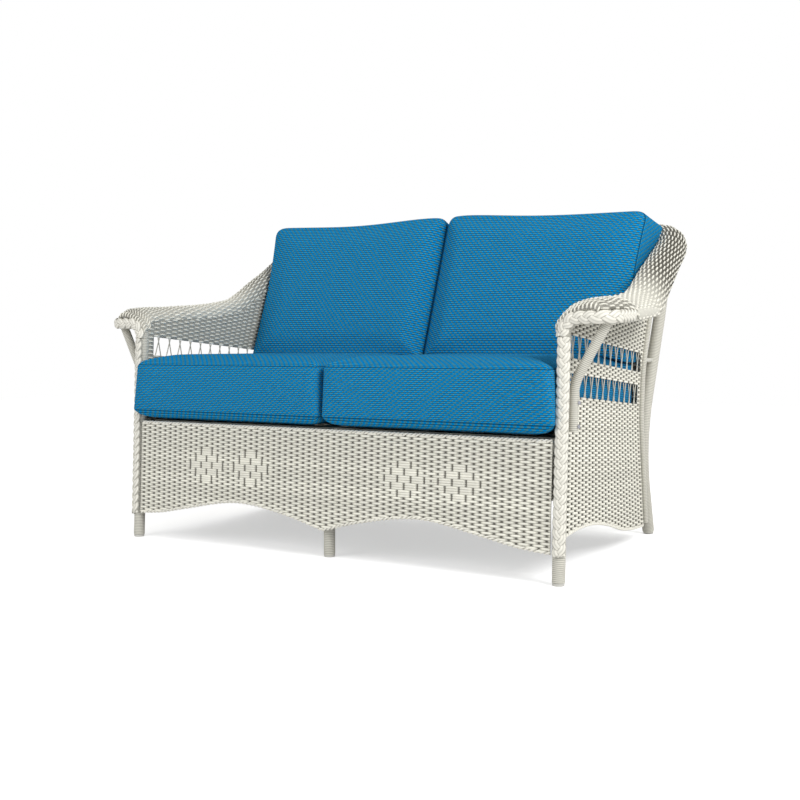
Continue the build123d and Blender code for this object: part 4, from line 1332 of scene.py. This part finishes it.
def net_box(name, cuts):
    """A cube from -1 to 1, cut into a net with its own number of cuts each way."""
    deselect()
    bpy.ops.mesh.primitive_cube_add(size=2)
    piece = bpy.context.object
    piece.name = name
    bpy.context.tool_settings.mesh_select_mode = (False, True, False)
    bpy.ops.object.mode_set(mode="EDIT")
    for axis, count in enumerate(cuts):
        cut_along(axis, count)
    bpy.ops.object.mode_set(mode="OBJECT")
    bpy.context.tool_settings.mesh_select_mode = (True, False, False)
    return piece


def round_corners(x, y, half_x, half_y, radius):
    """Moves the corners of a rectangle's net onto arcs."""
    inner_x = np.clip(x, -half_x + radius, half_x - radius)
    inner_y = np.clip(y, -half_y + radius, half_y - radius)
    dx, dy = x - inner_x, y - inner_y
    reach = np.maximum(np.abs(dx), np.abs(dy))
    length = np.maximum(np.hypot(dx, dy), TINY)
    return inner_x + dx * reach / length, inner_y + dy * reach / length


def crown_share(x, y, half_x, half_y):
    """How high a crowned face has risen, from 0 at its seam to 1."""
    inset = np.minimum(half_x - np.abs(x), half_y - np.abs(y))
    left = 1 - np.clip(inset / CROWN_RUN, 0, 1)
    return (1 - left ** 2) ** CROWN_POWER


# axes of a panel's map by the axis it faces, and the way its slanting lines lean
PANEL_AXES = {0: (1, 2, 1), 1: (0, 2, -1), 2: (0, 1, 1)}
# width and height of one thread of the cloth
THREADS = (0.0150, 0.0069)
SWELL, PRESSURE, SWELL_FRAMES = 0.006, 4.0, 20
SEAM_WIDTH, SEAM_DEPTH = 0.0026, 0.003
ON_SEAM, NEAR_SEAM = 1e-6, 2e-4


def map_panels(piece, half):
    """A map in threads for each panel of a cushion, from its net."""
    mesh = piece.data
    layer = mesh.uv_layers.active or mesh.uv_layers.new(name="cloth")
    for face in mesh.polygons:
        first, second, hand = PANEL_AXES[max(range(3), key=lambda k: abs(face.normal[k]))]
        for corner in face.loop_indices:
            point = mesh.vertices[mesh.loops[corner].vertex_index].co
            layer.data[corner].uv = (point[first] * half[first] / THREADS[0] * hand,
                                     point[second] * half[second] / THREADS[1])


def swell(piece, held):
    """Blows the cover up as cloth, with the seams held, and keeps every point near its start."""
    start = read_points(piece)
    group = piece.vertex_groups.new(name="seams")
    group.add([int(k) for k in np.flatnonzero(held)], 1.0, "REPLACE")
    make_active(piece)
    cloth = piece.modifiers.new("cover", "CLOTH")
    cloth.settings.use_pressure = True
    cloth.settings.uniform_pressure_force = PRESSURE
    cloth.settings.vertex_group_mass = "seams"
    cloth.settings.effector_weights.gravity = 0
    cloth.settings.quality = 5
    cloth.point_cache.frame_start = 1
    cloth.point_cache.frame_end = SWELL_FRAMES
    for number in range(1, SWELL_FRAMES + 1):
        bpy.context.scene.frame_set(number)
    bpy.ops.object.modifier_apply(modifier="cover")
    bpy.context.scene.frame_set(1)
    moved = read_points(piece) - start
    length = np.maximum(np.linalg.norm(moved, axis=1, keepdims=True), TINY)
    write_points(piece, start + moved * np.minimum(1, SWELL / length))
    print(piece.name, "swelled by up to", round(float(min(length.max(), SWELL)) * 1000, 1), "mm")


def sink_seams(piece, seam_points):
    """Bevels the seam edges and draws their middle line in."""
    tree = KDTree(len(seam_points))
    for place, point in enumerate(seam_points):
        tree.insert(point, place)
    tree.balance()
    make_active(piece)
    bpy.context.tool_settings.mesh_select_mode = (False, True, False)
    bpy.ops.object.mode_set(mode="EDIT")
    mesh = bmesh.from_edit_mesh(piece.data)
    for edge in mesh.edges:
        edge.select_set(all(tree.find(vert.co)[2] < ON_SEAM for vert in edge.verts))
    bmesh.update_edit_mesh(piece.data)
    bpy.ops.mesh.bevel(offset=SEAM_WIDTH, segments=2, profile=1.0, affect="EDGES")
    bpy.ops.object.mode_set(mode="OBJECT")
    bpy.context.tool_settings.mesh_select_mode = (True, False, False)
    points = read_points(piece)
    normals = np.empty(len(points) * 3)
    piece.data.vertices.foreach_get("normal", normals)
    near = np.array([tree.find(point)[2] for point in points]) < NEAR_SEAM
    points[near] -= normals.reshape(-1, 3)[near] * SEAM_DEPTH
    write_points(piece, points)
    # the seam value marks where the cloth finish paints shade in the sunk seams
    write_values(piece, "seam", near.astype(float))


def seam_mask(net):
    """Points on the edges of the box net that carry the two seams."""
    rim = (np.abs(net[:, 0]) > NET_EDGE) | (np.abs(net[:, 1]) > NET_EDGE)
    return rim & (np.abs(net[:, 2]) > NET_EDGE)


def sew(piece, net, body, lowest):
    """Swells a cover, keeps it above what it lies on, sinks its seams and finishes it."""
    seams = seam_mask(net)
    swell(piece, seams | (net[:, 2] < -NET_EDGE))
    points = read_points(piece)
    points[:, 2] = np.maximum(points[:, 2], lowest(points))
    write_points(piece, points)
    sink_seams(piece, points[seams])
    round_off = piece.modifiers.new("round", "SUBSURF")
    round_off.levels = 1
    round_off.render_levels = 1
    make_active(piece)
    bpy.ops.object.modifier_apply(modifier="round")
    smooth(piece)
    piece.data.materials.append(CLOTH)
    finish_piece(piece, body + "_cover", [body], body)


# %% [markdown]
# The seat cushions lie on the straps and reach a little in front of the legs. The back
# cushions stand on them, lean back, and flare out at their upper outer corner over the wing.

# %% Shape of a seat cushion
SEAT_UNDER, SEAT_CROWN = 0.030, 0.026
# how much the plain cover falls short of its solid: in half its depth, above and below
SEAT_INSET, CROWN_SPARE, UNDER_SPARE = 0.004, 0.004, 0.002
FRONT_RADIUS, FRONT_RADIUS_SWING, REAR_RADIUS = 0.016, 0.009, 0.008
# how far the middles of the sides, and of the front and the rear, are drawn in
SEAT_WAIST, SEAT_WAIST_DEEP = 0.006, 0.005
# the front outer corner is pushed outwards by the first, and at its foot also by the second
CORNER_PUSH, CORNER_PUSH_LOW = 0.009, 0.008
CORNER_FROM_DEPTH, CORNER_FROM_SIDE = 0.8, 0.75
REAR_PUSH = 0.007
STRAP_GAP = 0.0005


def ramp(value, start, end=1):
    """Rises from 0 at the start to 1 at the end."""
    return np.clip((value - start) / (end - start), 0, 1)


def seat_sizes(hand):
    """A seat cushion's box, its middle, and half the width and depth of its cover."""
    low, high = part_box(f"seat_cushion_{hand}")
    middle = np.array([(low[0] + high[0]) / 2, (low[1] + high[1]) / 2, 0])
    return low, high, middle, (high[0] - low[0]) / 2, (high[1] - low[1]) / 2 - SEAT_INSET


def seat_top(hand, place):
    """Height of the crowned top of a seat cushion under a place."""
    _, high, middle, half_x, half_y = seat_sizes(hand)
    crowned = crown_share(np.clip(place[:, 0] - middle[0], -half_x, half_x),
                          np.clip(place[:, 1] - middle[1], -half_y, half_y), half_x, half_y)
    return high[2] - SEAT_CROWN + (SEAT_CROWN - CROWN_SPARE) * crowned


def seat_cushion(side, hand):
    low, high, middle, half_x, half_y = seat_sizes(hand)
    piece = net_box(f"seat_cushion_{hand}_cover", (50, 52, 13))
    map_panels(piece, (half_x, half_y, (high[2] - low[2]) / 2))
    net = read_points(piece)
    x, y = net[:, 0] * half_x, net[:, 1] * half_y
    crowned = crown_share(x, y, half_x, half_y)
    radius = np.where(y < 0, FRONT_RADIUS + FRONT_RADIUS_SWING * net[:, 2], REAR_RADIUS)
    x, y = round_corners(x, y, half_x, half_y, radius)
    x = x * (1 - SEAT_WAIST / half_x * (1 - (y / half_y) ** 2))
    y = y * (1 - SEAT_WAIST_DEEP / half_y * (1 - (x / half_x) ** 2))
    seam_low, seam_high = low[2] + SEAT_UNDER, high[2] - SEAT_CROWN
    up = seam_low + (net[:, 2] + 1) / 2 * (seam_high - seam_low)
    up = np.where(net[:, 2] > NET_EDGE, seam_high + (SEAT_CROWN - CROWN_SPARE) * crowned, up)
    up = np.where(net[:, 2] < -NET_EDGE, seam_low - (SEAT_UNDER - UNDER_SPARE) * crowned, up)
    corner = ramp(-y / half_y, CORNER_FROM_DEPTH) * ramp(side * x / half_x, CORNER_FROM_SIDE)
    x = x + side * corner * (CORNER_PUSH + CORNER_PUSH_LOW * np.clip(0.5 - net[:, 2] / 2, 0, 1))
    y = y + REAR_PUSH * np.clip(y / half_y, 0, 1) ** 3
    write_points(piece, np.stack([x, y, up], axis=1) + middle)
    sew(piece, net, f"seat_cushion_{hand}", lambda points: low[2] + STRAP_GAP)


print("seat cushions are", round(2 * seat_sizes("left")[3], 3), "m wide")

# %% [markdown]
# The back cushions are soft enough to sag onto the seat, so their underside follows the
# crowned top of the cushion below. The two differ in the photograph, so each has its own top
# edge and its own flare.

# %% Shape of a back cushion, and all four made
BACK_TILT = radians(21.8)
BACK_UP = np.array([0, sin(BACK_TILT), cos(BACK_TILT)])
BACK_FRONTWARD = np.array([0, -cos(BACK_TILT), sin(BACK_TILT)])
BACK_HEIGHT, BACK_THICK, BACK_CROWN = 0.458, 0.1146, 0.022
BACK_HALF_WIDTH, MIDDLE_GAP = 0.306, 0.003
BACK_FOOT, BACK_FOOT_RUN = 0.512, 0.018
BACK_REAR_CROWN = 0.0015
TOP_RADIUS, TOP_RADIUS_SWING, FOOT_RADIUS = 0.016, 0.014, 0.012
INNER_WAIST = 0.0022
REAR_CORNER_RISE = 0.014
# how far the top edge stands above its line at the inner end, the middle and the outer end
TOP_EDGE = {"left": (0.021, -0.004, -0.010), "right": (0.018, 0.0, 0.011)}
BACK_SAG, SEAT_GAP = 0.022, 0.001
# how far the upper outer corner flares out at the rear and at the front
FLARE = {"left": (0.032, 0.015), "right": (0.032, 0.024)}
# how far the front seam is drawn back where the two back cushions meet
INNER_DROP = 0.022


def back_cushion(side, hand):
    low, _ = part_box(f"back_cushion_{hand}")
    half_x, half_y = BACK_HALF_WIDTH, BACK_HEIGHT / 2
    piece = net_box(f"back_cushion_{hand}_cover", (50, 38, 10))
    map_panels(piece, (half_x, half_y, BACK_THICK / 2))
    net = read_points(piece)
    x, y = net[:, 0] * half_x, net[:, 1] * half_y
    crowned = crown_share(x, y, half_x, half_y)
    share = (net[:, 2] + 1) / 2
    radius = np.where(y > 0, TOP_RADIUS + TOP_RADIUS_SWING * share, FOOT_RADIUS)
    x, y = round_corners(x, y, half_x, half_y, radius)
    rise, outer = np.clip(y / half_y, 0, 1), side * x / half_x
    corner = np.clip(outer, 0, 1) ** 4
    rear_flare, front_flare = FLARE[hand]
    x = x + side * (rear_flare + (front_flare - rear_flare) * share) * rise ** 1.5 * corner
    x = x - side * INNER_WAIST * share * np.clip(-outer, 0, 1) ** 8
    y = y + rise ** 2 * smooth_between(outer, (-1, 0, 1), TOP_EDGE[hand])
    y = y + REAR_CORNER_RISE * rise ** 3 * corner * (1 - share)
    drawn = BACK_THICK - INNER_DROP * np.clip(-outer, 0, 1) ** 6
    out = share * drawn
    crest = BACK_THICK - drawn + BACK_CROWN - CROWN_SPARE
    out = np.where(net[:, 2] > NET_EDGE, drawn + crest * crowned, out)
    out = np.where(net[:, 2] < -NET_EDGE, -BACK_REAR_CROWN * crowned, out)
    foot = np.array([side * (MIDDLE_GAP + half_x), at(BACK_FOOT), low[2]])
    centre = foot + BACK_UP * (BACK_HEIGHT / 2 - BACK_FOOT_RUN) - BACK_FRONTWARD * BACK_THICK
    sideways = x[:, None] * np.array([1, 0, 0])
    points = centre + sideways + y[:, None] * BACK_UP + out[:, None] * BACK_FRONTWARD

    def lowest(points):
        return np.maximum(seat_top(hand, points) + SEAT_GAP, low[2] - BACK_SAG)

    points[:, 2] = np.maximum(points[:, 2], lowest(points))
    write_points(piece, points)
    sew(piece, net, f"back_cushion_{hand}", lowest)


for side, hand in ((-1, "right"), (1, "left")):
    seat_cushion(side, hand)
    back_cushion(side, hand)

# %% [markdown]
# ## Finishes of the frame's own pieces
# The tubes, feet, screws, straps and the thin strands in the windows keep their solids.
# Each gets the finish of what it is: painted aluminium, hard plastic, zinc, webbing.

# %% Finishes for the solids
GLOSS_SWING = 0.2


def plain_finish(name, colour, roughness, scale, swing, metallic=0.0):
    """A paint, plastic or metal with a little unevenness in tone and gloss."""
    material, tree, shader = new_material(name)
    place = tree.nodes.new("ShaderNodeTexCoord")
    noise = tree.nodes.new("ShaderNodeTexNoise")
    noise.inputs["Scale"].default_value = scale
    tree.links.new(place.outputs["Object"], noise.inputs["Vector"])
    tones = tree.nodes.new("ShaderNodeMix")
    tones.data_type = "RGBA"
    tones.inputs["A"].default_value = (*[c * (1 - swing) for c in colour], 1)
    tones.inputs["B"].default_value = (*[min(c * (1 + swing), 1) for c in colour], 1)
    tree.links.new(noise.outputs["Fac"], tones.inputs["Factor"])
    tree.links.new(tones.outputs["Result"], shader.inputs["Base Color"])
    shader.inputs["Metallic"].default_value = metallic
    gloss = math_node(tree, "MULTIPLY_ADD", noise.outputs["Fac"], GLOSS_SWING, roughness - GLOSS_SWING / 2)
    tree.links.new(gloss, shader.inputs["Roughness"])
    return material


SLOT_FINISHES = {
    "tube": plain_finish("painted_tube", (0.58, 0.57, 0.51), roughness=0.45, scale=60, swing=0.04),
    "glide": plain_finish("foot_plastic", (0.55, 0.54, 0.50), roughness=0.6, scale=120, swing=0.08),
    "screw": plain_finish("zinc_screw", (0.55, 0.55, 0.62), roughness=0.35, scale=200, swing=0.1,
                          metallic=1.0),
    "strap": plain_finish("seat_webbing", (0.62, 0.60, 0.53), roughness=0.85, scale=400, swing=0.12),
    "weave": plain_finish("thin_strand", (0.50, 0.48, 0.41), roughness=0.5, scale=300, swing=0.1),
    "wrap": plain_finish("thin_strand_wrap", (0.80, 0.79, 0.72), roughness=0.5, scale=300, swing=0.1),
    "cushion": CLOTH,
}
for sub in frame["record"]["subparts"]:
    node = frame["nodes"][sub["node"]]
    node.data.materials.clear()
    node.data.materials.append(SLOT_FINISHES[sub["material_slot"]])
